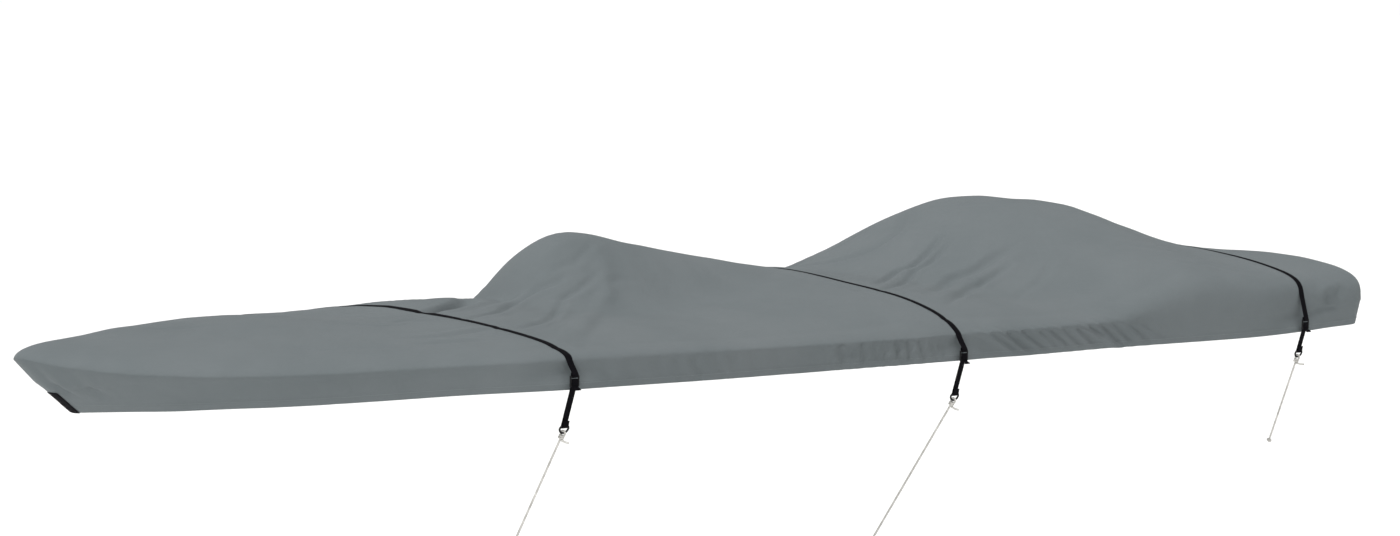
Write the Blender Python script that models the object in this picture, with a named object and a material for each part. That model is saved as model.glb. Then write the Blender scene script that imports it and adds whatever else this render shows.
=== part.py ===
"""Fitted cover for a small trailered motor boat.

One cloth is cut and sewn to the hull's outline.  It stands on two supports
inside the boat, a seat forward and a console aft, and falls from them to the
gunwale.  Three webbing straps cross it.  Each strap ends in a slotted buckle,
and a short webbing tail under the buckle holds a D ring.  Cords knotted to the
port rings tie the cover down.  The boat itself is left out, so the cover is
hollow.

Hull coordinates, in metres: x runs aft from the nose of the bow, y to
starboard and z up from the gunwale crease.  The finished part has its origin
under the ridge at ORIGIN_X, where the boat carries the cloth.
"""
import math

import bpy
from mathutils import Vector

# ---------------------------------------------------------------- dimensions
LENGTH = 5.25            # over the cloth, bow to transom
CLOTH = 0.002            # cloth thickness
HEM_CLOTH = 0.003        # turned and stitched edge
ORIGIN_X = 2.625         # station of the mount under the ridge

SKIRT = 0.079            # crease down to the hem, amidships
SKIRT_BOW = 0.020        # extra depth of the skirt at the bow
EDGE_RISE = 0.003        # widest line above the sheer, amidships
EDGE_RISE_BOW = 0.072    # the same at the nose of the bow
NOSE_FADE = 0.17         # length over which that rise dies out
CREASE_FALL = 0.007      # crease below the sheer
CREASE_TUCK = 0.003      # crease inboard of the widest line
HEM_TUCK = 0.018         # hem inboard of the widest line
CREASE_RAKE = 0.075      # crease set back from the nose
HEM_RAKE = 0.200         # hem set back from the nose
RAKE_FADE = 0.40         # length over which the bow's rake dies out
CORNER_RADIUS = 0.12     # transom corners in plan
SQUARE_END = LENGTH - CORNER_RADIUS

WEB_WIDTH = 0.025        # strap webbing
WEB = 0.0014             # webbing thickness
GAP = 0.0006             # between webbing and cloth
SEAT = 0.0003            # between pieces that touch

BAR = 0.0018             # half thickness of a buckle's bars
BUCKLE_LENGTH = 0.030    # between the centres of the outer bars
BUCKLE_CHEEK = 0.0045    # side walls of the buckle
BUCKLE_PLAY = 0.0015     # between the webbing's edge and a cheek
BUCKLE_LEAN = 0.001      # lower bar nearer the boat than the upper
BUCKLE_STANDOFF = 0.0065  # buckle plane outside the crease
RING_WIRE = 0.0022       # radius of the D ring's wire
RING_WIDTH = 0.034       # between the wire's centre lines
RING_DROP = 0.0215       # straight bar down to the bow
RING_BAR_SHARE = 0.92    # of the ring's width that its bar takes
RING_CORNER = 0.18       # of the drop, where the bow starts
RING_STEPS = 12          # along the bow
RING_SIDES = 8           # round the wire
TURN_STEPS = 6           # of webbing round a bar
RING_TURN_STEPS = 7      # of webbing round a ring
CORD = 0.007             # tie cord diameter
CORD_STEP = 0.018        # between points along a cord
CORD_STEPS_MAX = 40

# Half beam on the widest line.
HALF_BEAM = [
    # x, half_beam
    (0.00, 0.000),
    (0.05, 0.098),
    (0.12, 0.178),
    (0.30, 0.367),
    (0.60, 0.587),
    (1.00, 0.782),
    (1.42, 0.962),
    (2.20, 0.999),
    (3.10, 0.992),
    (4.00, 0.985),
    (4.82, 1.022),
    (5.13, 1.022),
]

# Height of the gunwale.
SHEER = [
    # x, z
    (0.00, -0.040),
    (0.60, -0.024),
    (1.40, 0.001),
    (3.00, -0.005),
    (4.50, -0.007),
    (5.25, 0.016),
]

# Where the line across the cloth from each station meets the ridge.
RIDGE_STATION = [
    # x on the widest line, x on the ridge
    (0.00, 0.30),
    (0.60, 0.76),
    (1.20, 1.24),
    (1.41, 1.41),
    (3.10, 3.10),
    (4.85, 4.85),
    (5.13, 4.93),
]
RIDGE_END = 4.99

# Crown of the cloth between gunwale and ridge: its height, and the section's
# shape, where a high squareness is a flat deck with a tight shoulder.
CROWN = [
    # x, height, squareness, rounding
    (0.30, 0.127, 1.538, 0.613),
    (0.40, 0.129, 1.601, 0.564),
    (0.80, 0.134, 1.515, 0.539),
    (1.20, 0.102, 1.812, 0.500),
    (1.60, 0.137, 0.695, 0.428),
    (2.20, 0.091, 1.416, 0.496),
    (3.00, 0.185, 2.118, 0.731),
    (3.80, 0.110, 2.347, 0.565),
    (4.50, 0.225, 2.942, 0.230),
    (4.90, 0.179, 2.855, 0.279),
]

# What props the cloth up: a seat forward, a console and seats aft.  Each fall
# ahead, astern and abeam has its own reach, roundness of the top and foot.
SUPPORTS = [
    # x, flat_length, flat_half_width, height, ahead, astern, abeam
    (2.192, 0.000, 0.000, 0.246, (0.309, 2.04, 1.04), (0.940, 1.45, 1.90), (0.383, 1.73, 1.30)),
    (4.038, 0.048, 0.084, 0.225, (0.628, 1.99, 1.72), (1.108, 1.48, 1.88), (0.809, 1.76, 1.84)),
]

# Broad swells of the top, where the cloth lies fuller or tighter.
SWELLS = [
    # x, y, length, width, height
    (0.48, 0.12, 0.36, 0.26, 0.0054),
    (1.30, -0.42, 0.40, 0.34, 0.0019),
    (1.46, 0.62, 0.50, 0.50, -0.0261),
    (1.90, 0.34, 0.40, 0.40, 0.0025),
    (3.05, -0.45, 0.36, 0.34, -0.0120),
    (4.62, -0.50, 0.30, 0.30, -0.0062),
    (4.84, -0.62, 0.30, 0.30, 0.0152),
    (5.06, -0.36, 0.24, 0.30, -0.0041),
]

# Folds of the top: a trough or ridge along a bent line.
FOLDS = [
    # start, middle, end in plan, half_width, height
    ((1.84, 0.06), (1.64, -0.08), (1.42, -0.20), 0.055, -0.012),
    ((2.02, -0.16), (1.90, -0.10), (1.42, -0.40), 0.050, -0.009),
    ((2.12, -0.21), (1.94, -0.24), (1.46, -0.61), 0.050, -0.009),
    ((2.22, -0.12), (2.08, -0.36), (1.44, -0.84), 0.060, 0.010),
    ((2.20, -0.24), (2.06, -0.44), (1.50, -0.92), 0.055, -0.008),
    ((2.26, 0.28), (2.20, 0.54), (2.02, 0.88), 0.060, 0.006),
    ((2.50, 0.10), (2.84, 0.46), (3.06, 0.82), 0.080, -0.006),
    ((3.98, 0.20), (3.62, -0.06), (3.54, 0.22), 0.055, -0.008),
    ((3.80, -0.16), (3.52, -0.22), (3.20, -0.46), 0.055, -0.009),
    ((3.94, -0.43), (3.60, -0.42), (3.26, -0.66), 0.055, -0.009),
    ((4.02, -0.50), (3.70, -0.54), (3.40, -0.76), 0.055, 0.005),
    ((4.30, 0.46), (4.44, 0.66), (4.62, 0.86), 0.070, -0.007),
    ((4.40, -0.30), (4.62, -0.42), (4.92, -0.52), 0.080, -0.006),
    ((0.60, -0.16), (0.98, -0.22), (1.34, -0.18), 0.100, 0.005),
    ((0.70, -0.36), (1.00, -0.48), (1.30, -0.62), 0.090, -0.005),
]

# Slack in the skirt: it stands out or falls in around these stations.
SKIRT_SLACK = [
    # x, side (-1 port, +1 starboard), half_length, outward at the hem
    (0.24, -1, 0.10, 0.012),
    (0.42, -1, 0.10, -0.008),
    (0.95, -1, 0.22, 0.006),
    (1.95, -1, 0.30, 0.005),
    (2.62, -1, 0.24, -0.005),
    (3.44, -1, 0.22, 0.008),
    (3.80, -1, 0.18, -0.006),
    (4.30, -1, 0.26, 0.005),
    (5.02, -1, 0.12, -0.006),
    (0.30, 1, 0.14, 0.010),
    (0.80, 1, 0.26, -0.005),
    (1.90, 1, 0.34, 0.006),
    (2.70, 1, 0.28, 0.005),
    (3.60, 1, 0.30, -0.006),
    (4.40, 1, 0.26, 0.006),
]

# Straps over the cloth, and what hangs from their port and starboard ends.
STRAPS = [
    # name, x, buckle below the crease, tail length, slope in
    ("strap_1", 1.41, 0.036, 0.139, 0.38),
    ("strap_2", 3.10, 0.045, 0.126, 0.35),
    ("strap_3", 4.85, 0.035, 0.090, 0.34),
]

# Cords from the port rings, pulled tight to the trailer.
TIES = [
    # name, strap, drop, inboard, ahead
    ("tie_1", "strap_1", 0.375, 0.216, 0.030),
    ("tie_2", "strap_2", 0.535, 0.375, 0.040),
    ("tie_3", "strap_3", 0.300, 0.112, 0.015),
]
FREE_END = 0.028         # loose end of the cord past its knot
FREE_END_STEPS = 3
FREE_END_AIM = (0.45, 0.78, -0.45)  # aft, outboard and, below 0, down

# Outward and upward from the low bar: the tail's loose flap over the buckle.
FLAP = [(0.018, -0.010), (0.012, -0.009), (0.0063, -0.004)]
STRAP_STRAIGHT = 0.006   # above the top bar, where the strap hangs straight
STRAP_RETURN = 0.012     # of the strap's end, back up behind the top bar
TAIL_RETURN = 0.022      # of the tail's end, back up from the ring
TAIL_RETURN_DRAW = 0.45  # how far that end closes on the tail

# Half sections of the two knots.
KNOT_SIDES = 12
KNOT = [
    # distance along the cord, radius
    (0.000, 0.0040),
    (0.004, 0.0082),
    (0.010, 0.0094),
    (0.017, 0.0078),
    (0.023, 0.0088),
    (0.029, 0.0048),
]
END_KNOT = [
    (0.000, 0.0042),
    (0.005, 0.0090),
    (0.012, 0.0096),
    (0.019, 0.0086),
    (0.024, 0.0040),
]

# Grid of the cloth.
STATION_STEP = 0.094
FINE_STEP = 0.047        # where the cloth falls from the forward support
FINE_FROM = 1.84
FINE_TO = 2.28
NOSE_STATIONS = [0.0, 0.0006, 0.008, 0.028, 0.062, 0.11, 0.17, 0.24]
STRAP_CLEAR = 0.056      # no other column this near a strap's edge
CORNER_STEPS = 4
TRANSOM_STEPS = 6
ACROSS = [0.0, 0.006, 0.02, 0.05, 0.10, 0.17, 0.26, 0.37, 0.49, 0.62, 0.75, 0.88, 1.0]
SKIRT_ROWS = 3           # hem, middle of the skirt and crease
FOLD_STEPS = 16          # along a fold's line
FOLD_FOOT = 1.6          # a fold fades out at this many half widths
FOLD_FADE = 0.12         # share of its length where an end fades

PORT = -1
STARBOARD = 1


# ---------------------------------------------------------------- small tools
def clamp(value, low, high):
    return max(low, min(high, value))


def read_table(table, at, column=1):
    """Smooth value of a table's column, with no overshoot between its rows."""
    keys = [row[0] for row in table]
    values = [row[column] for row in table]
    if at <= keys[0]:
        return values[0]
    if at >= keys[-1]:
        return values[-1]
    slopes = []
    for left in range(len(keys) - 1):
        slopes.append((values[left + 1] - values[left]) / (keys[left + 1] - keys[left]))
    tangents = [slopes[0]]
    for before, after in zip(slopes, slopes[1:]):
        steady = before * after > 0
        tangents.append(2 * before * after / (before + after) if steady else 0.0)
    tangents.append(slopes[-1])
    row = max(k for k in range(len(keys) - 1) if keys[k] <= at)
    span = keys[row + 1] - keys[row]
    s = (at - keys[row]) / span
    return (
        (1 + 2 * s) * (1 - s) ** 2 * values[row]
        + s * (1 - s) ** 2 * span * tangents[row]
        + s * s * (3 - 2 * s) * values[row + 1]
        + s * s * (s - 1) * span * tangents[row + 1]
    )


ROOT_BEAM = [(math.sqrt(x), beam) for x, beam in HALF_BEAM]


def half_beam(x):
    """Half beam at a station; the square root rounds the nose."""
    return read_table(ROOT_BEAM, math.sqrt(max(x, 0.0)))


def bump(distance):
    """1 at 0, falling smoothly to 0 at a distance of 1."""
    if abs(distance) >= 1:
        return 0.0
    return (1 - distance * distance) ** 2


# ---------------------------------------------------------------- the cloth
def outline():
    """Columns of one side: station and half beam on the widest line, and ridge station."""
    edges = []
    for _, x, *_ in STRAPS:
        edges += [x - WEB_WIDTH / 2, x + WEB_WIDTH / 2]
    stations = list(NOSE_STATIONS)
    while stations[-1] < SQUARE_END - 1.5 * STATION_STEP:
        fine = FINE_FROM < stations[-1] < FINE_TO
        stations.append(stations[-1] + (FINE_STEP if fine else STATION_STEP))
    stations.append(SQUARE_END)
    stations = [x for x in stations if min(abs(x - edge) for edge in edges) > STRAP_CLEAR]
    columns = []
    for x in sorted(stations + edges):
        columns.append((x, half_beam(x), read_table(RIDGE_STATION, x)))
    beam = half_beam(SQUARE_END) - CORNER_RADIUS
    ridge_step = (RIDGE_END - RIDGE_STATION[-1][1]) / (CORNER_STEPS + TRANSOM_STEPS)
    for step in range(1, CORNER_STEPS + 1):
        angle = math.pi / 2 * step / CORNER_STEPS
        x = SQUARE_END + CORNER_RADIUS * math.sin(angle)
        y = beam + CORNER_RADIUS * math.cos(angle)
        columns.append((x, y, columns[-1][2] + ridge_step))
    for step in range(1, TRANSOM_STEPS + 1):
        y = beam * (1 - step / TRANSOM_STEPS)
        columns.append((LENGTH, y, columns[-1][2] + ridge_step))
    return columns


def propped_height(x, y):
    """Lift of the cloth over what stands inside the boat."""
    lift = 0.0
    for start, flat, half_width, height, front, back, flank in SUPPORTS:
        before = max(start - x, 0) / front[0]
        after = max(x - start - flat, 0) / back[0]
        across = max(abs(y) - half_width, 0) / flank[0]
        reach = math.hypot(before + after, across)
        if reach < 1:
            shares = fall_shares(before, after, across)
            top = sum(share * fall[1] for share, fall in zip(shares, (front, back, flank)))
            foot = sum(share * fall[2] for share, fall in zip(shares, (front, back, flank)))
            lift += height * (1 - reach ** top) ** foot
    return lift


def fall_shares(before, after, across):
    """How far a point lies ahead, astern and abeam of a support; the sum is 1."""
    total = before * before + after * after + across * across
    if total == 0:
        return 0.0, 0.0, 1.0
    return before * before / total, after * after / total, across * across / total


def swell_height(x, y):
    """Sum of the broad swells."""
    total = 0.0
    for at_x, at_y, length, width, height in SWELLS:
        total += height * bump(math.hypot((x - at_x) / length, (y - at_y) / width))
    return total


def fold_height(x, y):
    """Sum of the folds that pass near a point of the plan."""
    total = 0.0
    for start, middle, end, half_width, height in FOLDS:
        best = 0.0
        for step in range(FOLD_STEPS + 1):
            s = step / FOLD_STEPS
            fx = (1 - s) ** 2 * start[0] + 2 * s * (1 - s) * middle[0] + s * s * end[0]
            fy = (1 - s) ** 2 * start[1] + 2 * s * (1 - s) * middle[1] + s * s * end[1]
            near = bump(math.hypot(x - fx, y - fy) / (FOLD_FOOT * half_width))
            best = max(best, near * math.sin(math.pi * clamp(s, FOLD_FADE, 1 - FOLD_FADE)))
        total += height * best
    return total


def slack(x, side):
    """How far the hem stands out at a station."""
    total = 0.0
    for at, which, half_length, outward in SKIRT_SLACK:
        if which == side:
            total += outward * bump((x - at) / half_length)
    return total


def top_point(column, side, across):
    """A point of the top: across is 0 on the widest line and 1 on the ridge."""
    edge_x, beam, ridge_x = column
    x = edge_x * (1 - across) + ridge_x * across
    y = side * beam * (1 - across)
    base = read_table(SHEER, edge_x) * (1 - across) + read_table(SHEER, ridge_x) * across
    squareness = read_table(CROWN, ridge_x, 2)
    rounding = read_table(CROWN, ridge_x, 3)
    crown = (1 - (1 - across) ** squareness) ** rounding
    inward = 1 - (1 - across) ** 3
    nose = math.exp(-edge_x / NOSE_FADE) * (1 - across) ** 2
    z = base + EDGE_RISE + (EDGE_RISE_BOW - EDGE_RISE) * nose
    z += read_table(CROWN, ridge_x) * crown
    z += (propped_height(x, y) + swell_height(x, y) + fold_height(x, y)) * inward
    return Vector((x, y, z))


def skirt_point(column, side, down):
    """A point of the skirt: down is 0 at the crease and 1 at the hem."""
    edge_x, beam, _ = column
    rake = math.exp(-edge_x / RAKE_FADE)
    tuck = CREASE_TUCK + (HEM_TUCK - CREASE_TUCK) * down - slack(edge_x, side) * down
    set_back = (CREASE_RAKE + (HEM_RAKE - CREASE_RAKE) * down) * rake
    aft = clamp((edge_x - SQUARE_END) / CORNER_RADIUS, 0.0, 1.0)
    x = edge_x + set_back - tuck * aft
    y = side * beam * (1 - tuck / max(beam, 4 * tuck))
    z = read_table(SHEER, edge_x) - CREASE_FALL - (SKIRT + SKIRT_BOW * rake) * down
    return Vector((x, y, z))


def cloth_section(column, side):
    """One column of the cloth from hem to ridge."""
    rows = []
    for row in range(SKIRT_ROWS):
        rows.append(skirt_point(column, side, 1 - row / (SKIRT_ROWS - 1)))
    for across in ACROSS:
        rows.append(top_point(column, side, across))
    return rows


class Cloth:
    """Outer grid of the cover: points, their normals and the faces between them."""

    def __init__(self):
        self.columns = outline()
        self.rows = SKIRT_ROWS + len(ACROSS)
        self.points = []
        self.index = {}
        for number, column in enumerate(self.columns):
            for side in (PORT, STARBOARD):
                for row, point in enumerate(cloth_section(column, side)):
                    self.add(number, side, row, point)
        self.faces = []
        for number in range(len(self.columns) - 1):
            for row in range(self.rows - 1):
                self.add_cell(number, row)
        self.normals = self.point_normals()

    def add(self, number, side, row, point):
        """Sides share the points of the ridge and of the two end columns."""
        ends = (0, len(self.columns) - 1)
        shared = row == self.rows - 1 or number in ends
        if shared and side == STARBOARD:
            self.index[number, side, row] = self.index[number, PORT, row]
            return
        if shared:
            point.y = 0.0
        self.index[number, side, row] = len(self.points)
        self.points.append(point)

    def add_cell(self, number, row):
        """Two triangles a side, split from the lower fore to the upper aft corner.

        The first column lies on the centre line, so its cells split the other way.
        """
        for side in (PORT, STARBOARD):
            fore_low = self.index[number, side, row]
            aft_low = self.index[number + 1, side, row]
            aft_high = self.index[number + 1, side, row + 1]
            fore_high = self.index[number, side, row + 1]
            cell = [(fore_low, aft_low, aft_high), (fore_low, aft_high, fore_high)]
            if number == 0:
                cell = [(fore_low, aft_low, fore_high), (aft_low, aft_high, fore_high)]
            if side == STARBOARD:
                cell = [face[::-1] for face in cell]
            self.faces += cell

    def point_normals(self):
        normals = [Vector() for _ in self.points]
        for a, b, c in self.faces:
            pa, pb, pc = self.points[a], self.points[b], self.points[c]
            area = (pb - pa).cross(pc - pa)
            for corner in (a, b, c):
                normals[corner] += area
        return [normal.normalized() for normal in normals]

    def hem_loop(self):
        last = len(self.columns) - 1
        port = [self.index[number, PORT, 0] for number in range(last + 1)]
        starboard = [self.index[number, STARBOARD, 0] for number in range(last - 1, 0, -1)]
        return port + starboard

    def at(self, number, side, row, lift=0.0):
        """A grid point, lifted off the cloth along its normal."""
        found = self.index[number, side, row]
        return self.points[found] + self.normals[found] * lift

    def column_at(self, x):
        return min(range(len(self.columns)), key=lambda k: abs(self.columns[k][0] - x))


# ---------------------------------------------------------------- Blender objects
def material(name, color, roughness, metallic=0.0):
    made = bpy.data.materials.new(name)
    made.use_nodes = True
    shader = made.node_tree.nodes["Principled BSDF"]
    shader.inputs["Base Color"].default_value = (*color, 1.0)
    shader.inputs["Roughness"].default_value = roughness
    shader.inputs["Metallic"].default_value = metallic
    return made


def place(points):
    """Hull coordinates to the part's own frame."""
    return [point - ORIGIN for point in points]


def add_object(name, points, faces, finish, smooth=True):
    mesh = bpy.data.meshes.new(name)
    mesh.from_pydata([tuple(point) for point in place(points)], [], faces)
    mesh.validate()
    if smooth:
        mesh.shade_smooth()
        mesh.set_sharp_from_angle(angle=math.radians(40))
    mesh.materials.append(finish)
    made = bpy.data.objects.new(name, mesh)
    bpy.context.scene.collection.objects.link(made)
    return made


def cover(cloth):
    """The cloth as one solid: outer face, inner face and the edge of the hem."""
    count = len(cloth.points)
    hem = cloth.hem_loop()
    thick = set(hem)
    inner = []
    for number, (point, normal) in enumerate(zip(cloth.points, cloth.normals)):
        inner.append(point - normal * (HEM_CLOTH if number in thick else CLOTH))
    faces = list(cloth.faces)
    faces += [(a + count, c + count, b + count) for a, b, c in cloth.faces]
    for here, there in zip(hem, hem[1:] + hem[:1]):
        faces.append((there, here, here + count))
        faces.append((there, here + count, there + count))
    finish = material("woven_polyester", (0.190, 0.205, 0.214), 0.85)
    return add_object("cover", cloth.points + inner, faces, finish)


def band(name, fore, aft, outward, finish, flips=()):
    """A strip of webbing between two edge lines, with its thickness along outward.

    Each cell of its faces is split from the first fore to the next aft corner,
    or the other way for the cells numbered in flips.
    """
    count = len(fore)
    half = WEB / 2
    points = []
    for line, sign in ((fore, 1), (aft, 1), (fore, -1), (aft, -1)):
        points += [point + side * half * sign for point, side in zip(line, outward)]
    fore_top, aft_top, fore_under, aft_under = (k * count for k in range(4))
    faces = []
    for k in range(count - 1):
        n = k + 1
        for a, b, sign in ((fore_top, aft_top, 1), (fore_under, aft_under, -1)):
            if k in flips:
                cell = [(a + k, b + k, a + n), (b + k, b + n, a + n)]
            else:
                cell = [(a + k, b + k, b + n), (a + k, b + n, a + n)]
            faces += [face[::sign] for face in cell]
        faces.append((fore_top + k, fore_top + n, fore_under + n, fore_under + k))
        faces.append((aft_top + k, aft_under + k, aft_under + n, aft_top + n))
    e = count - 1
    faces.append((fore_top, fore_under, aft_under, aft_top))
    faces.append((fore_top + e, aft_top + e, aft_under + e, fore_under + e))
    return add_object(name, points, faces, finish)


def arc(center, radius, start, end, steps):
    """Points round a bar, in the plane of outward distance and height."""
    points = []
    for step in range(steps + 1):
        angle = math.radians(start + (end - start) * step / steps)
        points.append((center[0] + radius * math.cos(angle), center[1] + radius * math.sin(angle)))
    return points


def flat_normals(path):
    """Left-hand normals of a path of (outward, height) points."""
    normals = []
    for number in range(len(path)):
        before = path[max(number - 1, 0)]
        after = path[min(number + 1, len(path) - 1)]
        along = Vector((after[0] - before[0], after[1] - before[1])).normalized()
        normals.append((-along.y, along.x))
    return normals


class StrapEnd:
    """Where a strap's end leaves the cloth, and the pieces that hang there."""

    def __init__(self, cloth, station, side, drop, tail, slope):
        number = cloth.column_at(station - WEB_WIDTH / 2)
        crease = cloth.at(number, side, SKIRT_ROWS - 1)
        self.side = side
        self.x = station
        self.tail = tail
        self.slope = slope
        self.hang = (abs(crease.y) + CREASE_TUCK + GAP + WEB / 2, crease.z)
        self.top_bar = (abs(crease.y) + BUCKLE_STANDOFF, crease.z - drop)
        self.low_bar = (self.top_bar[0] - BUCKLE_LEAN, self.top_bar[1] - BUCKLE_LENGTH)
        turn = BAR * math.sqrt(2) + SEAT + WEB / 2
        self.turn = turn
        reach = math.hypot(1, slope)
        self.lean = (-slope / reach, -1 / reach)
        ring_turn = RING_WIRE + SEAT + WEB / 2
        start = (self.low_bar[0] - turn, self.low_bar[1])
        self.ring_bar = (
            start[0] + self.lean[0] * tail + ring_turn * -self.lean[1],
            start[1] + self.lean[1] * tail + ring_turn * self.lean[0],
        )
        self.ring_turn = ring_turn

    def point(self, flat, x):
        return Vector((x, self.side * flat[0], flat[1]))

    def lines(self, path):
        """Edge lines and outward directions for a strip that follows a path."""
        fore = [self.point(flat, self.x - WEB_WIDTH / 2) for flat in path]
        aft = [self.point(flat, self.x + WEB_WIDTH / 2) for flat in path]
        outward = [self.point(flat, 0.0) for flat in flat_normals(path)]
        return fore, aft, outward

    def strap_path(self):
        """From the cloth down to the top bar, round it and up behind."""
        out, high = self.top_bar
        half_way = ((self.hang[0] + out + self.turn) / 2, (self.hang[1] + high) / 2)
        path = [half_way, (out + self.turn, high + STRAP_STRAIGHT)]
        path += arc(self.top_bar, self.turn, 0, -180, TURN_STEPS)
        path.append((out - self.turn + SEAT, high + STRAP_RETURN))
        return path

    def tail_path(self):
        """Loose end, over the low bar, down to the ring, round it and up in front."""
        out, high = self.low_bar
        path = [(out + outward, high + upward) for outward, upward in FLAP]
        path += arc(self.low_bar, self.turn, 0, 180, TURN_STEPS)
        degrees = math.degrees(math.atan(self.slope))
        path += arc(self.ring_bar, self.ring_turn, -180 - degrees, -degrees, RING_TURN_STEPS)
        end = path[-1]
        closed = TAIL_RETURN_DRAW * self.ring_turn
        path.append(
            (
                end[0] - self.lean[0] * TAIL_RETURN - closed,
                end[1] - self.lean[1] * TAIL_RETURN,
            )
        )
        return path


def strap(cloth, name, station, ends, finish):
    """Webbing from the port buckle, over the cloth, to the starboard buckle."""
    fore_number = cloth.column_at(station - WEB_WIDTH / 2)
    aft_number = fore_number + 1
    lift = GAP + WEB / 2
    port, starboard = ends
    fore, aft, outward = port.lines(port.strap_path()[::-1])
    outward = [-side for side in outward]
    flips = []
    rows = [(PORT, row) for row in range(SKIRT_ROWS, cloth.rows)]
    rows += [(STARBOARD, row) for row in range(cloth.rows - 2, SKIRT_ROWS - 1, -1)]
    for side, row in rows:
        if side == STARBOARD:
            flips.append(len(fore) - 1)
        fore.append(cloth.at(fore_number, side, row, lift))
        aft.append(cloth.at(aft_number, side, row, lift))
        both = cloth.normals[cloth.index[fore_number, side, row]]
        both = both + cloth.normals[cloth.index[aft_number, side, row]]
        outward.append(both.normalized())
    end_fore, end_aft, end_outward = starboard.lines(starboard.strap_path())
    fore += end_fore
    aft += end_aft
    outward += end_outward
    return band(name, fore, aft, outward, finish, flips)


def buckle(name, end, finish):
    """A slotted plate: three bars between two cheeks."""
    half_width = WEB_WIDTH / 2 + BUCKLE_PLAY + BUCKLE_CHEEK
    inner = half_width - BUCKLE_CHEEK
    across = [-half_width, -inner, inner, half_width]
    low = end.low_bar[1]
    high = end.top_bar[1]
    middle = (low + high) / 2
    bars = (low, middle, high)
    along = []
    for bar in bars:
        along += [bar - BAR, bar + BAR]
    open_cells = {(1, 1), (1, 3)}
    faces = []
    lean = (end.top_bar[0] - end.low_bar[0]) / (high - low)
    points = []
    number = {}
    for i, dx in enumerate(across):
        for j, z in enumerate(along):
            for k, face in enumerate((-BAR, BAR)):
                out = end.low_bar[0] + lean * (z - low) + face
                number[i, j, k] = len(points)
                points.append(end.point((out, z), end.x + dx))
    cells = [(i, j) for i in range(3) for j in range(5) if (i, j) not in open_cells]
    for i, j in cells:
        corners = [(i, j), (i + 1, j), (i + 1, j + 1), (i, j + 1)]
        faces.append([number[c[0], c[1], 1] for c in corners])
        faces.append([number[c[0], c[1], 0] for c in corners[::-1]])
        beside = [(i, j - 1), (i + 1, j), (i, j + 1), (i - 1, j)]
        for step, next_cell in enumerate(beside):
            if next_cell not in cells:
                a = corners[step]
                b = corners[(step + 1) % 4]
                faces.append([number[*b, 1], number[*a, 1], number[*a, 0], number[*b, 0]])
    if end.side == STARBOARD:
        faces = [face[::-1] for face in faces]
    return add_object(name, points, faces, finish, smooth=False)


def tail(name, end, finish):
    fore, aft, outward = end.lines(end.tail_path())
    if end.side == PORT:
        fore, aft = aft, fore
    return band(name, fore, aft, outward, finish)


def ring_line(end):
    """Closed centre line of the D ring, from its straight bar round the bow."""
    half = RING_WIDTH / 2
    flat = []
    for share in (-RING_BAR_SHARE, 0.0, RING_BAR_SHARE):
        flat.append((half * share, 0.0))
    for step in range(1, RING_STEPS):
        angle = math.pi * step / RING_STEPS
        down = RING_CORNER + (1 - RING_CORNER) * math.sin(angle)
        flat.append((half * math.cos(angle), RING_DROP * down))
    points = []
    for across, down in flat:
        out = end.ring_bar[0] + end.lean[0] * down
        high = end.ring_bar[1] + end.lean[1] * down
        points.append(end.point((out, high), end.x + across))
    return points


def wire_loop(name, line, radius, sides, finish):
    """A closed wire of round section along a flat loop."""
    count = len(line)
    middle = sum(line, Vector()) / count
    plane = (line[0] - middle).cross(line[count // 3] - middle).normalized()
    points = []
    for k, point in enumerate(line):
        along = (line[(k + 1) % count] - line[k - 1]).normalized()
        outward = along.cross(plane).normalized()
        for side in range(sides):
            angle = 2 * math.pi * side / sides
            reach = outward * math.cos(angle) + plane * math.sin(angle)
            points.append(point + reach * radius)
    faces = []
    for k in range(count):
        n = (k + 1) % count
        for side in range(sides):
            t = (side + 1) % sides
            faces.append((k * sides + side, n * sides + side, n * sides + t, k * sides + t))
    return add_object(name, points, faces, finish)


def tube(name, points, radius, finish):
    """A cord as a curve of round section with closed ends."""
    curve = bpy.data.curves.new(name, "CURVE")
    curve.dimensions = "3D"
    curve.bevel_depth = radius
    curve.bevel_resolution = 2
    curve.use_fill_caps = True
    spline = curve.splines.new("POLY")
    spline.points.add(len(points) - 1)
    for knot, point in zip(spline.points, place(points)):
        knot.co = (*point, 1.0)
    curve.materials.append(finish)
    made = bpy.data.objects.new(name, curve)
    bpy.context.scene.collection.objects.link(made)
    return made


def swelling_tube(name, stations, sides, finish):
    """A turned lump along a line: stations are (point, radius)."""
    points = []
    count = len(stations)
    for k, (point, radius) in enumerate(stations):
        along = stations[min(k + 1, count - 1)][0] - stations[max(k - 1, 0)][0]
        along.normalize()
        first = along.cross(Vector((1.0, 0.0, 0.0))).normalized()
        second = along.cross(first)
        for side in range(sides):
            angle = 2 * math.pi * side / sides
            points.append(point + (first * math.cos(angle) + second * math.sin(angle)) * radius)
    faces = []
    for k in range(count - 1):
        for side in range(sides):
            t = (side + 1) % sides
            a = k * sides
            b = a + sides
            faces.append((a + side, a + t, b + t, b + side))
    faces.append(tuple(range(sides))[::-1])
    faces.append(tuple(range((count - 1) * sides, count * sides)))
    return add_object(name, points, faces, finish)


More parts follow.
